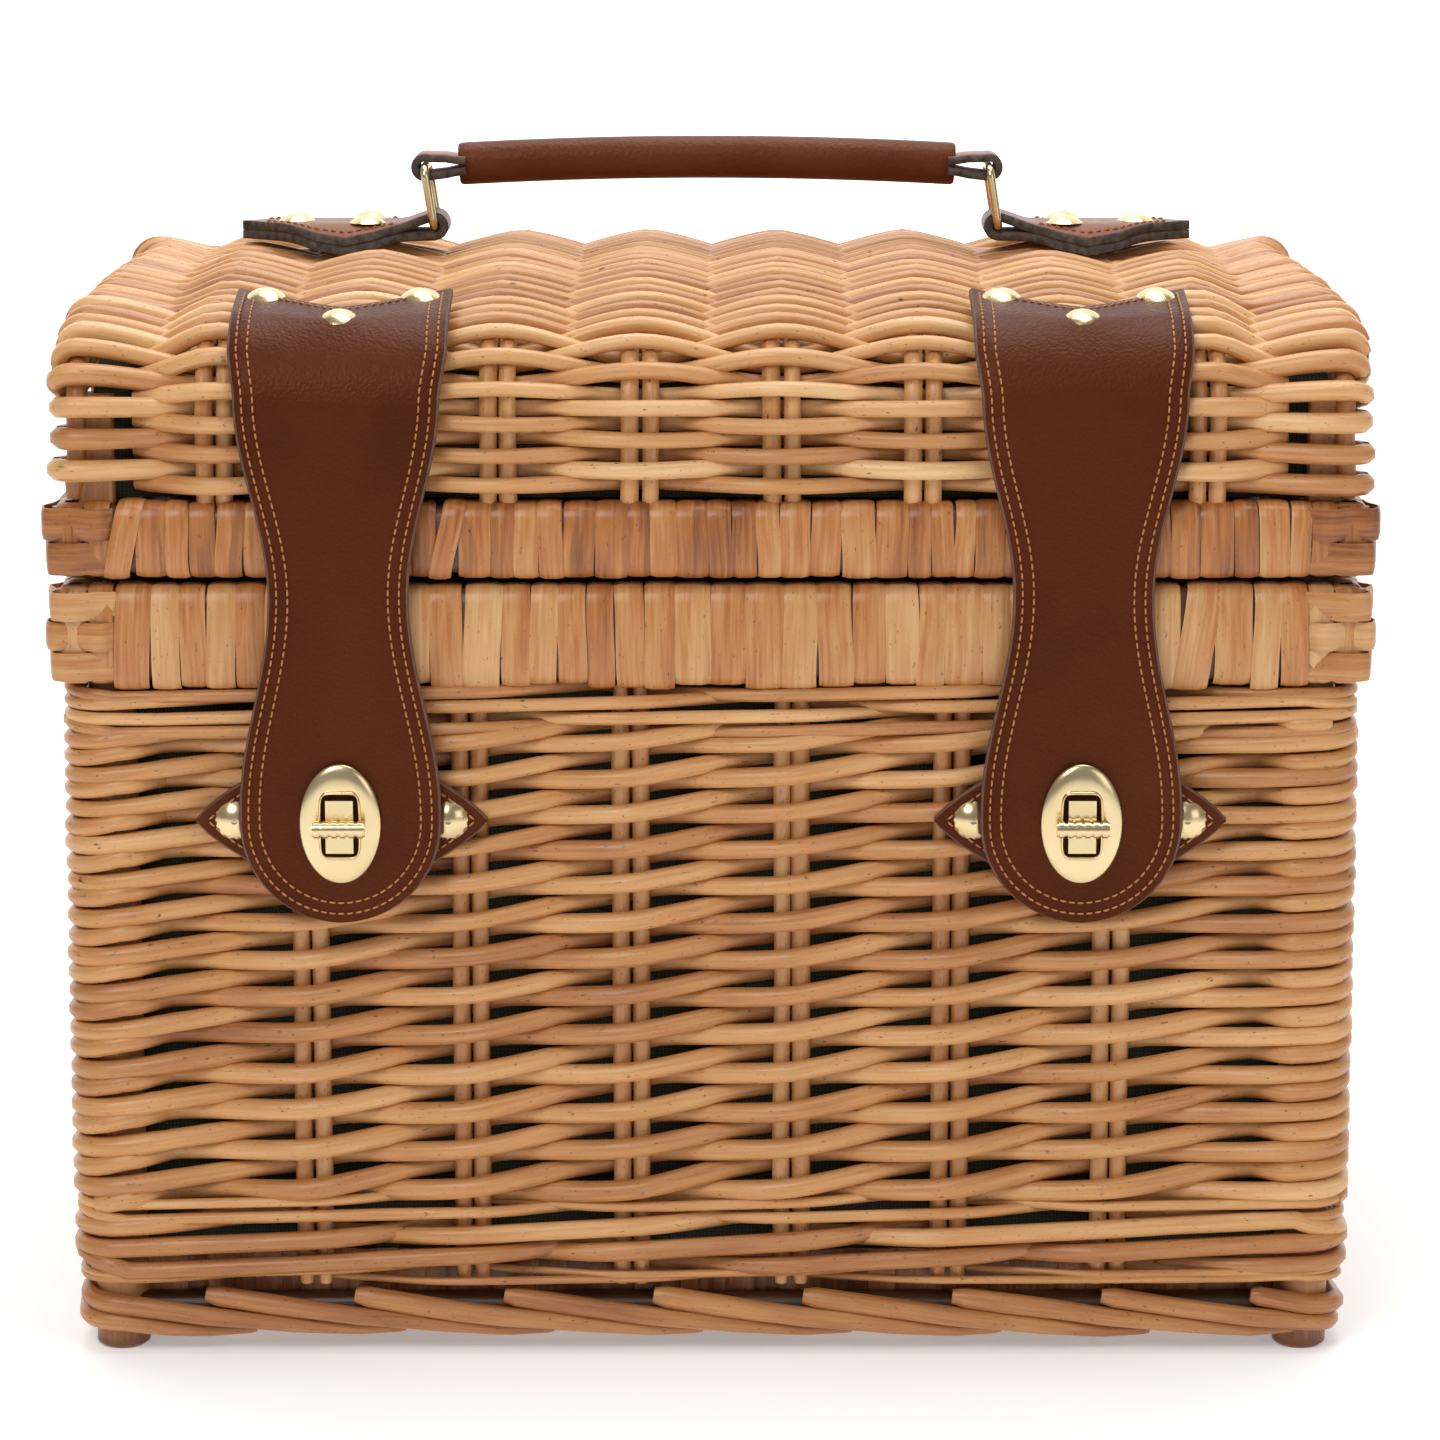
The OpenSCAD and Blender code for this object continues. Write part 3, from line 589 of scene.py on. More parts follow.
strands = Strands(9)
rng = strands.rng
BORDER_RODS = 28
BORDER_STEP = loop_len / BORDER_RODS
BASE_EDGE_STEP = 7.5
top = border_high[2] - 3.6
for k in range(BORDER_RODS):
    s = wall_steps(k * BORDER_STEP - 14, k * BORDER_STEP + 96, 4.0)
    t = (s - s[0]) / BORDER_STEP
    z = np.interp(t, [0, 1, 2, 2.4], [top, top - 6.6, top - 11.6, top - 12.0]) + smooth(len(s), 8, 0.4, rng)
    depth = np.interp(t, [0, 0.4, 1, 2, 2.4], [2.6, 3.6, 4.0, 1.2, -1.0])
    radius = np.interp(t, [0, 1.6, 2.3], [3.4, 3.0, 1.5]) * rng.uniform(0.95, 1.06)
    strands.rod(on_loop(s, depth, z), radius, UP, rng.uniform(0.2, 0.5), 9)
for i in range(int(loop_len / BASE_EDGE_STEP)):
    s = np.full(6, i * BASE_EDGE_STEP) + rng.uniform(-0.4, 0.4)
    path = on_loop(s, -8.0 + 0.8 * (i % 2), np.linspace(border_low[2] + 1, lower_low[2] + 3, 6))
    out = path - on_loop(s, -12.0, path[:, 2])
    strands.add(path, strip_ring(4.3, 1.9, -0.6, 0.2, 0.9), out, rng.uniform(-0.05, 0.25))
s = wall_steps(0, loop_len - 5)
# Ring inside the border in the darker willow copy: painted shade seen through the gaps between the border
# rods.
strands.add(on_loop(s, -4.2, border_low[2] + 7.0), circle(8) * 4.4, UP, 0.2, closed=True, slot=1)
strands.build("bottom_border_rods", "basket", [willow, core_willow], ["bottom_border"])


def stake_rods(name, node, seed):
    """The straight pairs of one wall."""
    strands = Strands(seed)
    rng = strands.rng
    low, high = limits(node)
    middle, size = (low + high) / 2, high - low
    axis = int(size[1] > size[0])
    count, step = (SIDE_PAIRS, pair_step_y) if axis else (FRONT_PAIRS, pair_step_x)
    for i in range(count):
        for side in (-1, 1):
            z = np.linspace(low[2], high[2], 24)
            path = xyz(middle[0], middle[1] - middle_y, z)
            path[:, axis] += (i - (count - 1) / 2) * step + side * (stake_r + 0.1)
            path[:, axis] += smooth(len(z), 6, 0.35, rng)
            radius = stake_r * rng.uniform(0.95, 1.02)
            strands.rod(path, radius, (axis, 1 - axis, 0), rng.uniform(0.45, 0.72), 9)
    strands.build(name, "basket", [willow], [node])


for number, wall in enumerate(("front", "back", "left", "right")):
    stake_rods(f"stake_pairs_{wall}", f"stakes_{wall}", 20 + number)

for number, corner in enumerate(("front_left", "front_right", "back_left", "back_right")):
    node = f"corner_post_{corner}"
    low, high = limits(node)
    strands = Strands(30 + number)
    z = np.array([low[2], low[2] + 1.2, *np.linspace(low[2] + 4, high[2], 20)])
    path = xyz((low[0] + high[0]) / 2, (low[1] + high[1]) / 2 - middle_y, z)
    radius = np.full(len(z), post_r)
    radius[0] = post_r * 1.15
    strands.rod(path, radius, (0, 1, 0), np.interp(z, [0, 9], [-0.2, 0.4]), 20, wobble=0.015)
    strands.build(node + "_stick", "basket", [willow], [node])

# ---- Base ----

base_low, base_high = limits("base_weave")
slat_low, slat_high = limits("base_frame")
SLATS = 7
slat_r = (slat_high[2] - slat_low[2]) / 2
slat_z = (slat_high[2] + slat_low[2]) / 2
slat_step = (slat_high[0] - slat_low[0] - 2 * slat_r) / (SLATS - 1)

strands = Strands(40)
for i in range(SLATS):
    y = np.linspace(slat_low[1], slat_high[1], 16) - middle_y
    path = xyz((i - (SLATS - 1) / 2) * slat_step, y, slat_z)
    strands.rod(path, slat_r, UP, strands.rng.uniform(0.4, 0.6), 10)
strands.build("base_sticks", "basket", [willow], ["base_frame"])

strands = Strands(41)
BASE_STRIP = strip_ring(3.4, 1.6, -0.8, 0.3, 1.1)
BASE_STEP = 7.2
rows = int((base_high[1] - base_low[1] - 6) / BASE_STEP)
for i in range(rows):
    y = base_low[1] - middle_y + 6.5 + i * BASE_STEP
    reach = base_high[0] - 2 if abs(y) < post_y - 12 else post_x - 12
    x = np.arange(-reach, reach, 5.5)
    sway = (slat_r + 1.0) * np.cos(np.pi * (x / slat_step + i))
    strands.add(xyz(x, y, slat_z + sway), BASE_STRIP, UP, strands.rng.uniform(0.3, 0.65))
strands.build("base_strips", "basket", [skein], ["base_weave"])

# ---- Wrapped rims ----


def section(thick, high, count=20, power=3.6):
    """Points and outward directions of a rim's rounded cross-section."""
    a = np.pi + 2 * np.pi * (np.arange(count) + 0.5) / count
    c, s = np.cos(a), np.sin(a)
    size = np.array([thick, high])
    turn = np.stack([c, s], 1)
    points = size * np.sign(turn) * abs(turn) ** (2 / power)
    share = points / size
    return points, unit(np.sign(share) * abs(share) ** (power - 1) / size)


def band(strands, middle, along, out, thick, high, width, slant, lift, tint, wave=0.0):
    """One flat strip right round the rim. along is the rim's direction there and out points outwards."""
    points, normals = section(thick + lift, high + lift)
    along, out = np.array([*along, 0.0]), np.array([*out, 0.0])
    path = middle + points[:, :1] * out + points[:, 1:] * np.array(UP) + points[:, 1:] * slant * along
    path = path + wave * np.sin(points[:, 1:] / high * 2.6) * along
    up = normals[:, :1] * out + normals[:, 1:] * np.array(UP)
    w = width / 2
    strands.add(path, strip_ring(w, w * 0.55, -0.3, 0.15, 0.62), up, tint, closed=True)


def plait_corner(strands, corner, sx, sy, thick, tall, plait, rows, tints):
    """Checker plait at a rim's corner: upright strips, and level strips that bend round the corner."""
    rng = strands.rng
    turn_r = 3.5
    half_turn = turn_r * math.pi / 4
    inside = np.array([corner[0] - sx * turn_r, corner[1] - sy * turn_r, corner[2]])
    near = half_turn + 0.2
    reach = plait - turn_r + half_turn
    width = (reach - near) / 2
    columns = (near + width / 2, near + width * 1.5)
    for along, out in (((-sx, 0), (0, sy)), ((0, -sy), (sx, 0))):
        for w in columns:
            d = turn_r + w - half_turn
            middle = corner + (along[0] * d - out[0] * thick, along[1] * d - out[1] * thick, 0)
            band(strands, middle, along, out, thick - 1.5, tall - 1.0, width - 0.5, 0, 0, rng.uniform(*tints))
    post = np.array([(0, 0, 1.6 - tall), (0, 0, 0), (0, 0, tall - 1.6)]) + inside - (sx * 1.2, sy * 1.2, 0)
    strands.rod(post, 3.6, (sx, sy, 0), rng.uniform(*tints), 14, wobble=0)
    wide = tall * 0.88 / rows - 0.35
    for row in range(rows):
        flip = 1 if row % 2 == 0 else -1
        keys = [(-reach - 1, -2.2), (-columns[1], -0.2 - 1.4 * flip), (-columns[0], -0.2 + 1.4 * flip),
                (columns[0], -0.2 - 1.4 * flip), (columns[1], -0.2 + 1.4 * flip), (reach + 1, -2.2)]
        w = np.linspace(-reach - 0.8, reach + 0.8, 41)
        angle = np.clip(w / half_turn, -1, 1) * math.pi / 4 + math.pi / 4
        out = np.stack([sx * np.sin(angle), sy * np.cos(angle), np.zeros(len(w))], 1)
        path = inside + out * (turn_r + eased(w, keys, 0.2))[:, None]
        path[:, 0] -= sx * np.maximum(-w - half_turn, 0)
        path[:, 1] -= sy * np.maximum(w - half_turn, 0)
        path[:, 2] += (row - (rows - 1) / 2) * 2 * tall * 0.88 / rows
        strands.add(path, strip_ring(wide, wide * 0.6, -0.4, 0.1, 0.5), out, rng.uniform(*tints))


def rim(name, wrap_node, plait_node, body, ragged, rows, widths, tints, seed, replaced_core):
    low, high = limits(wrap_node)
    plait_high = limits(plait_node)[1]
    plait = 20.0
    thick = RIM_T / 2
    half_x, half_y = plait_high[0] - thick, plait_high[1] - middle_y - thick
    z = (low[2] + high[2]) / 2
    tall = (high[2] - low[2]) / 2
    sides = (
        ((0, -half_y), (1, 0), (0, -1), half_x + thick - plait),
        ((0, half_y), (-1, 0), (0, 1), half_x + thick - plait),
        ((half_x, 0), (0, 1), (1, 0), half_y + thick - plait),
        ((-half_x, 0), (0, -1), (-1, 0), half_y + thick - plait),
    )
    strands = Strands(seed)
    rng = strands.rng
    for (cx, cy), along, out, reach in sides:
        place = -reach
        while place < reach - 3:
            width = min(rng.uniform(*widths), reach - place)
            middle = np.array([cx + along[0] * (place + width / 2), cy + along[1] * (place + width / 2), z])
            drop = rng.uniform(0, ragged)
            crossing = rng.random() < 0.06
            slant = rng.uniform(0.12, 0.22) * rng.choice([-1, 1]) if crossing else rng.uniform(-0.04, 0.04)
            wide = width + rng.uniform(-0.5, 0.5)
            lift = 0.4 * crossing + rng.uniform(-0.2, 0.25)
            band(strands, middle - (0, 0, drop / 2), along, out, thick - 0.95, tall - 0.9 + drop / 2, wide,
                 slant, lift, rng.uniform(*tints), rng.uniform(-0.4, 0.4))
            place += width
    strands.build(f"{name}_strips", body, [skein], [wrap_node])

    strands = Strands(seed + 1)
    for sx in (LEFT, RIGHT):
        for sy in (FRONT, BACK):
            corner = np.array([sx * (half_x + thick), sy * (half_y + thick), z])
            plait_corner(strands, corner, sx, sy, thick, tall, plait, rows, tints)
    strands.build(f"{name}_corners", body, [skein], [plait_node])

    # The rim's core, seen in the gaps between the strips, wears the darker willow copy: painted shade.
    strands = Strands(seed + 2)
    points, _ = section(thick - 1.6, tall - 1.6, 16)
    strands.add(rounded_loop(half_x, half_y, thick, z), points, UP, 0.4, closed=True)
    strands.build(f"{name}_core", body, [core_willow], replaced_core)


RIM_T = 16.0

# A cloth strip carries the lining up behind the rim's rounded edge.
strands = Strands(90)
lining_high = limits("lining")[1]
hem_line = rounded_loop(lining_high[0] + 0.5, lining_high[1] - middle_y + 0.5, 3.0,
                        limits("rim_wrap")[0][2])
strands.add(hem_line, ((-0.4, -8), (0.4, -8), (0.4, 7), (-0.4, 7)), UP, closed=True)
strands.build("lining_hem", "basket", [cloth], ())

rim("rim_wrap", "rim_wrap", "rim_corner_plaits", "basket", ragged=2.2, rows=3, widths=(8.0, 12.0),
    tints=(0.26, 0.54), seed=50, replaced_core=["rim_core"])
rim("lid_wrap", "lid_rim_wrap", "lid_corner_plaits", "lid", ragged=0.5, rows=2, widths=(6.5, 10.5),
    tints=(0.06, 0.34), seed=60, replaced_core=["lid_rim_core"])

# ---- Lid ----

lid_low, lid_high = limits("lid_weave")
SHOULDER_R = 28.0
ROOF_ANGLE = 12
ROOF_SLOPE = math.radians(ROOF_ANGLE)
half_depth = (lid_high[1] - lid_low[1]) / 2
roof_r = SHOULDER_R + (half_depth - SHOULDER_R) / math.sin(ROOF_SLOPE)
shoulder_z = lid_high[2] - roof_r + (roof_r - SHOULDER_R) * math.cos(ROOF_SLOPE)
dome_z = lid_low[2]


class Outline:
    """The dome's side view moved inwards by inset: points and outward directions at a length along it."""

    def __init__(self, inset):
        y, z, ny, nz = [], [], [], []

        def add(*place):
            for row, value in zip((y, z, ny, nz), place):
                row.append(value)

        def arc(cy, cz, r, start, end, count):
            for a in np.linspace(start, end, count):
                add(cy + r * math.cos(a), cz + r * math.sin(a), math.cos(a), math.sin(a))

        top = math.pi / 2
        for h in np.linspace(dome_z - 12, shoulder_z, 12)[:-1]:
            add(inset - half_depth, h, -1, 0)
        arc(SHOULDER_R - half_depth, shoulder_z, SHOULDER_R - inset, math.pi, top + ROOF_SLOPE, 24)
        arc(0, lid_high[2] - roof_r, roof_r - inset, top + ROOF_SLOPE, top - ROOF_SLOPE, 90)
        arc(half_depth - SHOULDER_R, shoulder_z, SHOULDER_R - inset, top - ROOF_SLOPE, 0, 24)
        for h in np.linspace(shoulder_z, dome_z - 12, 12)[1:]:
            add(half_depth - inset, h, 1, 0)
        self.y, self.z, self.ny, self.nz = (np.array(v, float) for v in (y, z, ny, nz))
        self.s = np.concatenate([[0], np.cumsum(np.hypot(np.diff(self.y), np.diff(self.z)))]) - 12
        self.length = self.s[-1] - 12

    def at(self, x, s, depth):
        """Points at place s along the outline, depth outwards from it."""
        y, z, ny, nz = (np.interp(s, self.s, v) for v in (self.y, self.z, self.ny, self.nz))
        points = np.stack(np.broadcast_arrays(x, y + ny * depth, z + nz * depth), 1)
        return points, np.stack(np.broadcast_arrays(0.0, ny, nz), 1)


dome = Outline(6.9)
LID_PAIRS = 8
arch_low, arch_high = limits("lid_stakes")
arch_r = stake_r
arch_step = (arch_high[0] - arch_low[0] - PAIR_WIDTH) / (LID_PAIRS - 1)
lid_pairs = (np.arange(LID_PAIRS) - (LID_PAIRS - 1) / 2) * arch_step
lid_reach = limits("lid_end_right")[1][0]
LID_ROD = 2.65
LID_PITCH = 4.65
HOOK = (177.0, -5.0)
LID_OUT = 2.8
INSIDE = -6.0
TAB_PRESS = 3.4
lid_rows = int((dome.length - 5) / LID_PITCH)
lid_start = (dome.length - (lid_rows - 1) * LID_PITCH) / 2


lining_x = limits("lid_lining")[1][0]
tab_low, tab_high = limits("handle_tab_right")
tab_near, tab_far = tab_low[0], tab_high[0]
tab_half_y = (tab_high[1] - tab_low[1]) / 2


def end_shape(s):
    """For a place on the outline: how far its row reaches, the radius of the row's turn, and the rise."""
    y = abs(float(np.interp(s, dome.s, dome.y)))
    z = float(np.interp(s, dome.s, dome.z))
    rise = 1 - min(y / 100, 1)
    low = max(0.0, 1 - (z - dome_z) / 16)
    return lid_reach - 2 - 11 * rise**1.2 + 1.5 * low, 6 + 2.5 * rise, rise


def lid_row(strands, number):
    """One row of the dome: over and under the arched pairs, then round the end bows or hooked inside."""
    rng = strands.rng
    s = lid_start + number * LID_PITCH
    parity = number % 2
    reach, turn, rise = end_shape(s)
    on_roof = rise > 0.07
    keys = []
    for i, x in enumerate(lid_pairs):
        over = (i + parity) % 2 == 0
        pressed = 1.2 if over and rise > 0.72 and abs(x) > 100 else 0.0
        keys.append((x, (1 if over else -1) * (arch_r + LID_ROD - 0.3) - pressed))
    ends = []
    for side in (LEFT, RIGHT):
        over = (parity == 0) if side == LEFT else ((LID_PAIRS - 1 + parity) % 2 == 0)
        out = reach - rng.uniform(0, 1.6) - (1.5 if over else 0)
        edge = out - turn
        if over and not on_roof:
            ends.append((side * HOOK[0], None))
            keys.append((side * HOOK[0], HOOK[1]))
            continue
        if over:
            keys.append((side * 169.0, -1.0))
        keys.append((side * edge, LID_OUT))
        ends.append((side * edge, turn))
    keys.sort()
    (x0, turn0), (x1, turn1) = ends
    x = np.arange(x0, x1, 5.2)
    x = np.append(x, x1)
    depth = eased(x, keys, 0.6 if on_roof else 0.15)
    place = s + smooth(len(x), 9, 0.55, rng)
    angles = np.radians(np.arange(15, 181, 15))
    for end, radius in ((0, turn0), (1, turn1)):
        if radius is None:
            continue
        side = (LEFT, RIGHT)[end]
        tx = (x0, x1)[end] + side * radius * np.sin(angles)
        td = LID_OUT - radius * (1 - np.cos(angles))
        tx = np.append(tx, tx[-1] - side * np.array([5.0, 11.0]))
        td = np.append(td, [td[-1], td[-1]])
        clear = np.logical_and.accumulate((td > INSIDE) | (abs(tx) > lining_x + 2.8))
        tx, td = tx[clear], td[clear]
        tp = np.full(len(tx), place[0 if end == 0 else -1])
        if end == 0:
            x, depth, place = np.append(tx[::-1], x), np.append(td[::-1], depth), np.append(tp, place)
        else:
            x, depth, place = np.append(x, tx), np.append(depth, td), np.append(place, tp)
    under_tab = np.clip((abs(x) - tab_near + 4) / 6, 0, 1) * np.clip((tab_far + 1 - abs(x)) / 10, 0, 1)
    y = np.interp(place, dome.s, dome.y)
    edge = np.clip(1.5 - abs(abs(y) - tab_half_y + 3) / 8, 0, 1)
    pressing = TAB_PRESS * under_tab * edge * (np.interp(place, dome.s, dome.nz) > 0.9)
    depth = np.where(depth > 0, depth - pressing * np.clip(depth / 3, 0, 1), depth)
    path, up = dome.at(x, place, depth)
    thicker = 0 if on_roof else 0.3
    swell = 1 + thicker * np.clip((abs(x) - 130) / 60, 0, 1) + smooth(len(x), 8, 0.06, rng)
    radius = LID_ROD * rng.uniform(0.84, 1.06) * swell
    tint = rng.uniform(0.38, 0.78) + smooth(len(x), 14, 0.1, rng)
    strands.rod(path, radius, up, tint, 8)


LID_PARTS = ("lid_weave_front", "lid_weave_roof_front", "lid_weave_roof_back", "lid_weave_back")
for part, name in enumerate(LID_PARTS):
    strands = Strands(200 + part)
    for number in range(lid_rows * part // 4, lid_rows * (part + 1) // 4):
        lid_row(strands, number)
    strands.build(name, "lid", [willow], ["lid_weave"] if part == 0 else ())

strands = Strands(210)
for x in lid_pairs:
    for side in (-1, 1):
        s = np.linspace(-5, dome.length + 5, 80)
        wander = smooth(len(s), 8, 0.4, strands.rng)
        path, up = dome.at(x + side * (arch_r + 0.2) + wander, s, 0)
        strands.rod(path, arch_r * strands.rng.uniform(0.96, 1.02), up, strands.rng.uniform(0.5, 0.8), 8)
strands.build("lid_stake_pairs", "lid", [willow], ["lid_stakes"])

LEG = ((-6.0, -5.0), (6.0, -5.0), (6.6, -4.0), (6.6, 4.0), (6.0, 5.0), (-6.0, 5.0), (-6.6, 4.0), (-6.6, -4.0))
SIDES = ((LEFT, "left"), (RIGHT, "right"))
for side, word in SIDES:
    strands = Strands(220 + side)
    s = np.linspace(0, dome.length, 70)
    shape = np.array([end_shape(v) for v in s])
    path, up = dome.at(side * (shape[:, 0] - shape[:, 1] - 0.5), s, LID_OUT - shape[:, 1])
    strands.rod(path, 3.1, up, 0.45, 10)
    strands.build(f"lid_bow_{word}_rod", "lid", [willow], [f"lid_bow_{word}"])

    strands = Strands(230 + side)
    rng = strands.rng
    inner = Outline(18)
    half = inner.y < 0
    sticks = (-90.0, -30.0, 30.0, 90.0)
    panel_x = lining_x + 3.2
    for y in sticks:
        top = float(np.interp(y, inner.y[11:-11], inner.z[11:-11]))
        z = np.linspace(dome_z - 6, top, 10)
        path = xyz(side * (panel_x + 0.8), y, z)
        strands.rod(path, 2.3, (side, 0, 0), rng.uniform(0.4, 0.6), 8)
    z, number = dome_z + 4.0, 0
    while z < lid_high[2] - 19:
        front = inner.y[half][np.argmin(abs(inner.z[half] - z))]
        y = np.arange(front, -front, 6.0)
        keys = [(v, 4.6 if (k + number) % 2 else -2.2) for k, v in enumerate(sticks)]
        keys = [(-200, 2.0), *keys, (200, 2.0)]
        path = xyz(side * (panel_x + eased(y, keys)), y, z + smooth(len(y), 6, 0.5, rng))
        strands.rod(path, rng.uniform(2.2, 2.6), UP, rng.uniform(0.35, 0.65), 8)
        z += 5.3
        number += 1
    for inset in (13.5, 18.0):
        arch = Outline(inset)
        path = xyz(side * (panel_x + 1.6), arch.y, arch.z)[12:-12:3]
        strands.rod(path, 2.5, (side, 0, 0), rng.uniform(0.35, 0.6), 8)
    for end in (FRONT, BACK):
        z = np.linspace(dome_z - 6, shoulder_z + 6, 12)
        strands.add(xyz(side * 190.0, end * 133.0, z), LEG, (0, 1, 0), 0.4)
    strands.build(f"lid_end_{word}_weave", "lid", [willow], [f"lid_end_{word}"])

# ---- Leather ----


def stitches(strands, curve, surface, pitch=2.7, long=1.8, slot=0):
    """Short raised threads along curve, whose points surface(point, lift) places on the leather."""
    curve = np.asarray(curve, float)
    length = travelled(curve)
    count = int(length[-1] / pitch)
    for k in range(count):
        ends = (k + 0.5) * length[-1] / count + np.array([-0.5, 0.0, 0.5]) * long
        flat = np.stack(at_length(ends, length, curve), 1)
        path = np.array([surface(p, lift)[0] for p, lift in zip(flat, (0.0, 0.26, 0.0))])
        up = surface(flat[1], 0)[1]
        ring = circle(4)[None] * np.array([0.26, 0.42, 0.26])[:, None, None]
        strands.add(path, ring, up, 0.5, slot=slot)


def slab_ring(half, thick, edge=0.7, face=7):
    """Cross-sections of a flat strap, from its half widths: inner face, edge, outer face, edge."""
    half = np.asarray(half, float)[:, None]
    t = thick / 2
    flat = half - np.minimum(edge, half * 0.5)
    across = np.linspace(-1, 1, face)
    inner = [(-half, edge - t)] + [(flat * u, -t) for u in across] + [(half, edge - t)]
    points = inner + [(a, -b) for a, b in inner[::-1]]
    return np.stack([np.concatenate([a, np.full_like(half, b)], 1) for a, b in points], 1)


def slab_slots(face=7, inner=2, edge=1, outer=0):
    """Material slots of slab_ring's sides."""
    return [edge] + [inner] * (face - 1) + [edge] * 3 + [outer] * (face - 1) + [edge] * 2


strap_low, strap_high = limits("strap_left")
head_high = limits("strap_head_left")[1]
plate_low, plate_high = limits("lock_plate_left")
STRAP_T = 3.2
SHOULDER_END = 180 + math.degrees(0.04)
lock_z = (plate_low[2] + plate_high[2]) / 2
strap_x = (strap_high[0] + strap_low[0]) / -2
LOBE_R = 31.0
WAIST_Z, WAIST_HALF, HEAD_HALF = 244.0, 21.5, 33.5
lobe_y = plate_high[1] - middle_y + STRAP_T / 2


def strap_line():
    """Middle line of a strap from its riveted end over the shoulder to the lobe, with outward directions."""
    lift = 0.55 + STRAP_T / 2
    start = math.degrees(math.acos((head_high[1] - middle_y) / (roof_r + lift)))
    roof = arc((0, lid_high[2] - roof_r), roof_r + lift, start, 90 + ROOF_ANGLE, 7)[:-1]
    shoulder_r = SHOULDER_R + lift + 0.8 * np.linspace(0, 1, 22)[:, None]
    shoulder = arc((SHOULDER_R - half_depth, shoulder_z), shoulder_r, 90 + ROOF_ANGLE, SHOULDER_END, 22)
    y, z = shoulder[-1]
    drops = LOBE_R * np.sin(np.radians(np.linspace(4, 90, 22)))
    heights = np.concatenate([np.linspace(z, lock_z, 30)[1:], lock_z - drops])
    front = np.stack([y + (lobe_y - y) * (z - heights) / (z - lock_z), heights], 1)
    points = np.concatenate([roof, shoulder, front])
    tangent = unit(np.gradient(points, axis=0))
    return travelled(points), points, np.stack([tangent[:, 1], -tangent[:, 0]], 1)


line_s, line_points, line_normals = strap_line()


HEAD_Z, FLARE_Z = 318.0, 306.0


def strap_half(z):
    """Half width of a strap at height z."""
    if z >= FLARE_Z:
        return HEAD_HALF - 2 * max(0, (HEAD_Z - z) / (HEAD_Z - FLARE_Z))
    if z >= WAIST_Z:
        t = (z - WAIST_Z) / (FLARE_Z - WAIST_Z)
        return WAIST_HALF + (HEAD_HALF - 2 - WAIST_HALF) * (1 - math.cos(math.pi * t)) / 2
    if z >= lock_z + 3:
        t = (WAIST_Z - z) / (WAIST_Z - lock_z - 3)
        return WAIST_HALF + (LOBE_R - WAIST_HALF) * (1 - math.cos(math.pi * t)) / 2
    if z >= lock_z:
        return LOBE_R
    return math.sqrt(max(LOBE_R**2 - (lock_z - z) ** 2, 1.0))


line_half = np.array([strap_half(z) for z in line_points[:, 1]])
NOTCH = 21.0


def notch(u, s):
    """How far the riveted end's middle is cut back."""
    return NOTCH * (1 - abs(u) ** 1.2) * max(0.0, 1 - s / 44.0)


STITCHED = [leather, strap_edge, suede, thread]


def strap(side, word):
    """One strap, from its riveted end over the lid's shoulder to the lobe."""
    centre = side * strap_x
    strands = Strands(300 + side)
    path = xyz(centre, *line_points.T)
    up = xyz(0, *line_normals.T)
    ring = slab_ring(line_half, STRAP_T, face=11)
    along = np.zeros(ring.shape[:2])
    for i, s in enumerate(line_s):
        along[i] = [notch(min(1, abs(u) / line_half[i]), s) for u in ring[i, :, 0]]
    strands.add(path, ring, up, 0.5, slot=slab_slots(11), along=along, strip_caps=True)

    def surface(point, lift):
        x, s = point
        y, z = at_length(s, line_s, line_points)
        out_y, out_z = at_length(s, line_s, line_normals)
        out = STRAP_T / 2 + 0.1 + lift
        return np.array([centre + x, y + out_y * out, z + out_z * out]), np.array([0, out_y, out_z])

    lobe_s = float(np.interp(-lock_z, -line_points[:, 1], line_s))
    for inset in (2.8, 6.2):
        sides = []
        for s in np.arange(4.0, lobe_s, 3.0):
            sides.append((float(np.interp(s, line_s, line_half)) - inset, s))
        curve = [(-x, s + notch(x / HEAD_HALF, s)) for x, s in sides]
        curve += arc((0, lobe_s), LOBE_R - inset, 180, 0, 30).tolist()
        curve += [(x, s + notch(x / HEAD_HALF, s)) for x, s in sides[::-1]]
        stitches(strands, curve, surface, slot=3)
    rivet_gap = 2.6
    curve = [(x, rivet_gap + notch(x / HEAD_HALF, 0)) for x in np.linspace(-HEAD_HALF + 4, HEAD_HALF - 4, 20)]
    stitches(strands, curve, surface, slot=3)
    made = strands.build(f"strap_leather_{word}", None, STITCHED, ())
    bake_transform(made)
    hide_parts(f"strap_{word}", f"strap_head_{word}")


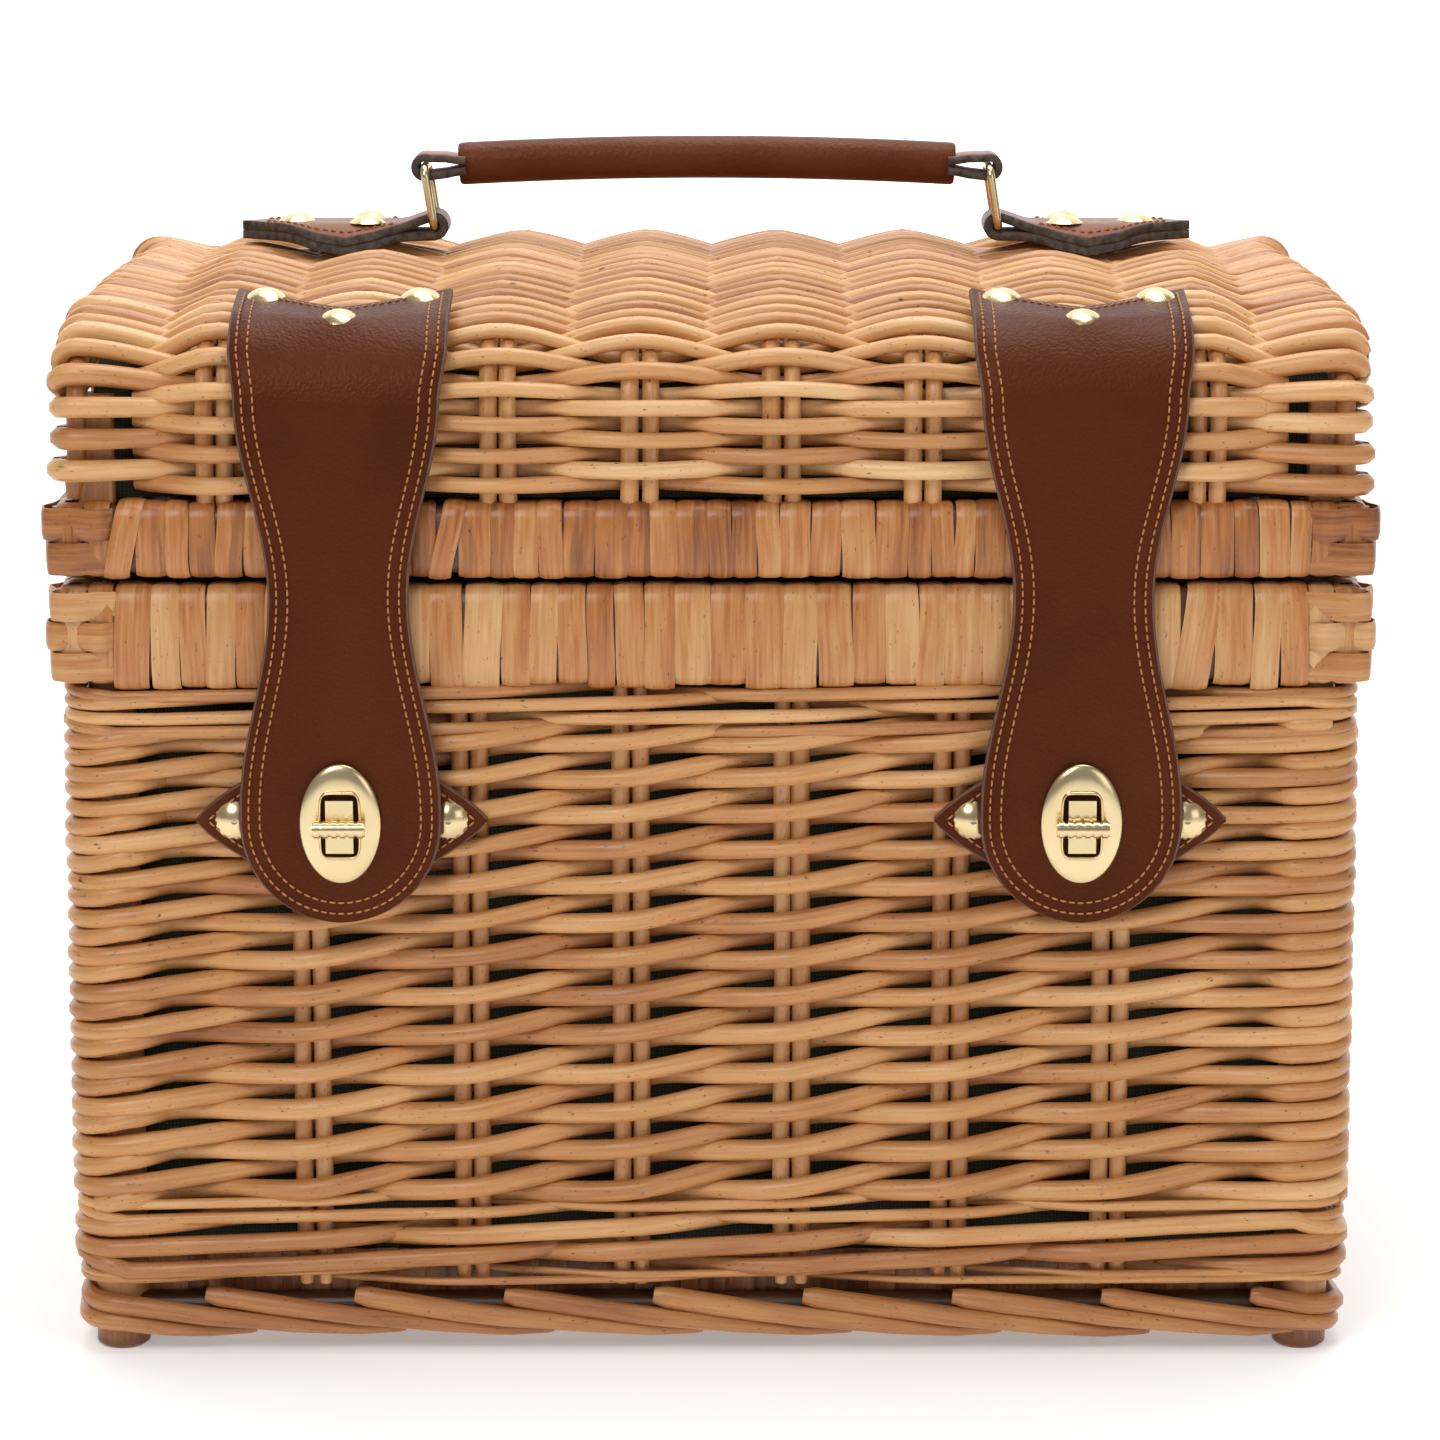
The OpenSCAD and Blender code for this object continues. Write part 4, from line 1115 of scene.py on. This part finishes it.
def plate(side, word):
    """Domed oval plate with a raised frame round its slot."""
    low, high = limits(f"lock_plate_{word}")
    strands = Strands(310 + side)
    tall_r, wide_r = 19.0, (high[0] - low[0]) / 2
    back_y = plate_high[1] - middle_y
    lean = math.atan2(line_points[-1, 0] - line_points[-30, 0], line_points[-30, 1] - line_points[-1, 1])
    rises = ((1.0, 0.0), (1.0, 0.7), (0.975, 1.1), (0.9, 1.5), (0.75, 2.0), (0.45, 2.4), (0.2, 2.5),
             (0.13, 2.5), (0.10, 3.2), (0.07, 3.5), (0.03, 3.5), (0.0, 3.2), (0.0, -2.0))
    a = np.linspace(0, 2 * np.pi, 64, endpoint=False)
    c, s = np.cos(a), np.sin(a)
    oval = np.stack([wide_r * c, tall_r * s], 1)
    slot = np.stack([5.7 * np.sign(c) * abs(c) ** 0.28, 9.8 * np.sign(s) * abs(s) ** 0.28], 1)
    points = []
    for share, rise in rises:
        x, z = (oval * share + slot * (1 - share)).T
        points.append(xyz(x, back_y - rise + z * math.tan(lean), z))
    strands.loft(np.array(points) + ((low[0] + high[0]) / 2, 0, lock_z), 0.5)
    strands.build(f"lock_plate_{word}_oval", f"{word}_strap", [brass], [f"lock_plate_{word}"], 60)


for side, word in SIDES:
    strap(side, word)
    plate(side, word)

    low, high = limits(f"catch_tab_{word}")
    strands = Strands(320 + side)
    wide = (high[0] - low[0]) / 2
    tall, thick = 28.5, high[1] - low[1]
    middle = np.array([(low[0] + high[0]) / 2, (low[1] + high[1]) / 2 - middle_y, (low[2] + high[2]) / 2])

    def tab_half(x):
        return np.maximum(tall * np.maximum(1 - abs(x) / wide, 0) ** 0.75, 0.8)

    x = wide * np.sin(np.linspace(-np.pi / 2, np.pi / 2, 41))
    strands.add(xyz(x, 0, 0) + middle, slab_ring(tab_half(x), thick), (0, -1, 0), 0.5, slot=slab_slots())

    def tab_surface(point, lift):
        return middle + (point[0], -thick / 2 - 0.1 - lift, point[1]), np.array([0.0, -1.0, 0.0])

    for inset in (2.6, 5.6):
        reach = wide - inset * 1.5
        xs = np.linspace(-reach, reach, 40)
        h = tab_half(xs / reach * (wide - 0.5)) * (1 - inset / tall * 0.6) - inset * 0.5
        h = np.maximum(h, 0.2)
        stitches(strands, [(u, v) for u, v in zip(xs, h)], tab_surface, slot=3)
        stitches(strands, [(u, -v) for u, v in zip(xs, h)], tab_surface, slot=3)
    strands.build(f"catch_tab_{word}_leather", "basket", STITCHED, [f"catch_tab_{word}"])

    low, _ = limits(f"hinge_leaf_basket_{word}")
    _, high = limits(f"hinge_leaf_lid_{word}")
    strands = Strands(330 + side)
    z = np.linspace(low[2], high[2], 40)
    thick = high[1] - low[1]
    path = xyz((low[0] + high[0]) / 2, high[1] - middle_y - thick / 2, z)
    half = (high[0] - low[0]) / 2
    taper = np.minimum(1, np.minimum(z - z[0], z[-1] - z) / 9)
    widths = half * (0.35 + 0.65 * np.sqrt(np.maximum(taper, 0)))
    strands.add(path, slab_ring(widths, thick), (0, 1, 0), 0.5, slot=slab_slots())
    made = strands.build(f"hinge_leather_{word}", None, [leather, strap_edge, suede], ())
    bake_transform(made)
    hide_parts(f"hinge_leaf_basket_{word}", f"hinge_leaf_lid_{word}")

# ---- Handle ----

grip_low, grip_high = limits("handle_grip")
hand_low, hand_high = limits("handle_strap")
ring_low, ring_high = limits("ring_left")
WIRE_R = 1.4
grip_r = (grip_high[1] - grip_low[1]) / 2
grip_x0, grip_x1 = grip_low[0], grip_high[0]
bar_z = ring_high[2] - WIRE_R
bar_x = {LEFT: ring_low[0] + WIRE_R, RIGHT: limits("ring_right")[0][0] + WIRE_R}
low_x = {LEFT: ring_high[0] - WIRE_R, RIGHT: limits("ring_right")[1][0] - WIRE_R}
low_bar_z = ring_low[2] + WIRE_R
ring_y = (ring_low[1] + ring_high[1]) / 2 - middle_y
grip_mid = (grip_x0 + grip_x1) / 2
ARCH = 3.0
sag = (grip_x1 - grip_x0) / 2 + 12


def arch_rise(x):
    """Height of the handle's curved middle line above the rings' bars."""
    return ARCH * (1 - ((x - grip_mid) / sag) ** 2)


strands = Strands(400)
x = np.linspace(grip_x0 + 1.2, grip_x1 - 1.2, 40)
x = np.array([grip_x0, grip_x0 + 0.3, *x, grip_x1 - 0.3, grip_x1])
path = xyz(x, ring_y, bar_z + arch_rise(x))
size = np.minimum(1, 0.9 + 0.1 * np.sqrt(np.minimum(x - grip_x0, grip_x1 - x) / 1.2))
ring = circle(28)[None] * (grip_r * size)[:, None, None]
strands.add(path, ring, UP, 0.5)
seam = xyz(x[2:-2], ring_y + grip_r * 0.62, bar_z + arch_rise(x[2:-2]) + grip_r * 0.76)
strands.add(seam, circle(6) * 0.45, UP, 0.5, slot=1)
strands.build("grip_sleeve", "handle", [grip_leather, suede], ["handle_grip"])


def fold_strap(strands, points, side, lift, widths, thick, face, strip_caps=False):
    """A strap along points, of (across, height), in the handle's plane."""
    tangent = unit(np.gradient(points, axis=0))
    up = xyz(-tangent[:, 1], 0, tangent[:, 0]) * side
    path = xyz(points[:, 0], ring_y, points[:, 1] + lift)
    ring = slab_ring(widths, thick, 0.5, face)
    strands.add(path, ring, up, 0.5, slot=slab_slots(face), strip_caps=strip_caps)


strands = Strands(401)
LOOP_T = 2.5
LOOP_ENDS = ((-2.4, 1.7), (-1.2, 1.8), (1, 2.0), (4, 2.6))
for side, inner in ((LEFT, grip_x0), (RIGHT, grip_x1)):
    centre = bar_x[side]
    r = WIRE_R + 0.6 + LOOP_T / 2
    ends = [(inner + side * d, height) for d, height in LOOP_ENDS]
    mirrored = [(x, -height) for x, height in ends[::-1]]
    points = np.array([*ends, *arc((centre, 0), (side * r, r), 112, -112, 15), *mirrored])
    lift = bar_z + np.interp(abs(points[:, 0] - centre), [0, 8, 30], [0, 0.4, 1.0])
    fold_strap(strands, points, side, lift, np.full(len(points), (hand_high[1] - hand_low[1]) / 2), LOOP_T, 3)
strands.build("handle_loops", "handle", [tab_leather, edge_leather, suede], ["handle_strap"])

LEAF_PLACES = (0, 0.14, 0.30, 0.45, 0.62, 0.80, 0.93, 1.0)
LEAF_WIDTHS = (0.47, 0.55, 0.86, 1.0, 0.88, 0.5, 0.18, 0.03)


def droop(y):
    """How far a leaf's edge hangs over the curved roof at distance y from its middle."""
    return 0.036 * np.maximum(abs(np.asarray(y)) - 9, 0) ** 2


for side, word in SIDES:
    low, high = limits(f"handle_tab_{word}")
    strands = Strands(410 + side)
    tip = low[0] if side == LEFT else high[0]
    fold = low_x[side]
    run = abs(tip - fold)
    half = (high[1] - low[1]) / 2
    thick = 2.9
    r = WIRE_R + 0.35 + thick / 2
    under, over = low[2] + thick / 2, low[2] + thick * 1.5 + 0.15
    points = [(fold + side * d, under) for d in (*np.linspace(run, 8, 26), 4, 0)]
    points += arc((fold, low_bar_z), (-side * r, r), -60, 100, 10).tolist()
    points += [(fold + side * d, over + lift) for d, lift in ((5, 1.9), (9, 0.5))]
    points += [(fold + side * d, over) for d in np.linspace(12, run, 26)]
    points = np.array(points)
    distance = np.maximum((points[:, 0] - fold) * side, 0)
    widths = half * np.interp(distance / run, LEAF_PLACES, LEAF_WIDTHS)
    fold_strap(strands, points, side, 0, widths, thick, 11, strip_caps=True)
    strands.points[-1][:, 2] -= droop(strands.points[-1][:, 1] - ring_y)

    def leaf_surface(point, lift):
        height = over + thick / 2 + 0.1 + lift - float(droop(point[1]))
        return np.array([point[0], ring_y + point[1], height]), np.array(UP)

    d = np.linspace(13, run - 8, 30)
    w = half * np.interp(d / run, LEAF_PLACES, LEAF_WIDTHS) - 2.6
    for edge in (-1, 1):
        stitches(strands, [(fold + side * u, edge * max(v, 0.4)) for u, v in zip(d, w)], leaf_surface, slot=3)
    strands.build(f"handle_tab_{word}_leaf", "lid", [tab_leather, edge_leather, suede, thread],
                  [f"handle_tab_{word}"])

# ---- Finishes of the CAD nodes that stay ----

BRASS_NODES = (
    "catch_rivets", "lock_post_left", "lock_post_right", "hinge_rivets_basket", "hinge_rivets_lid",
    "strap_rivets", "handle_tab_rivets", "toggle_left", "toggle_right", "ring_left", "ring_right",
)
KEPT = {"lining": cloth, "lid_lining": cloth, **dict.fromkeys(BRASS_NODES, brass)}
for node, finish in KEPT.items():
    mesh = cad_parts[node].data
    mesh.materials.clear()
    mesh.materials.append(finish)

bpy.context.view_layer.update()
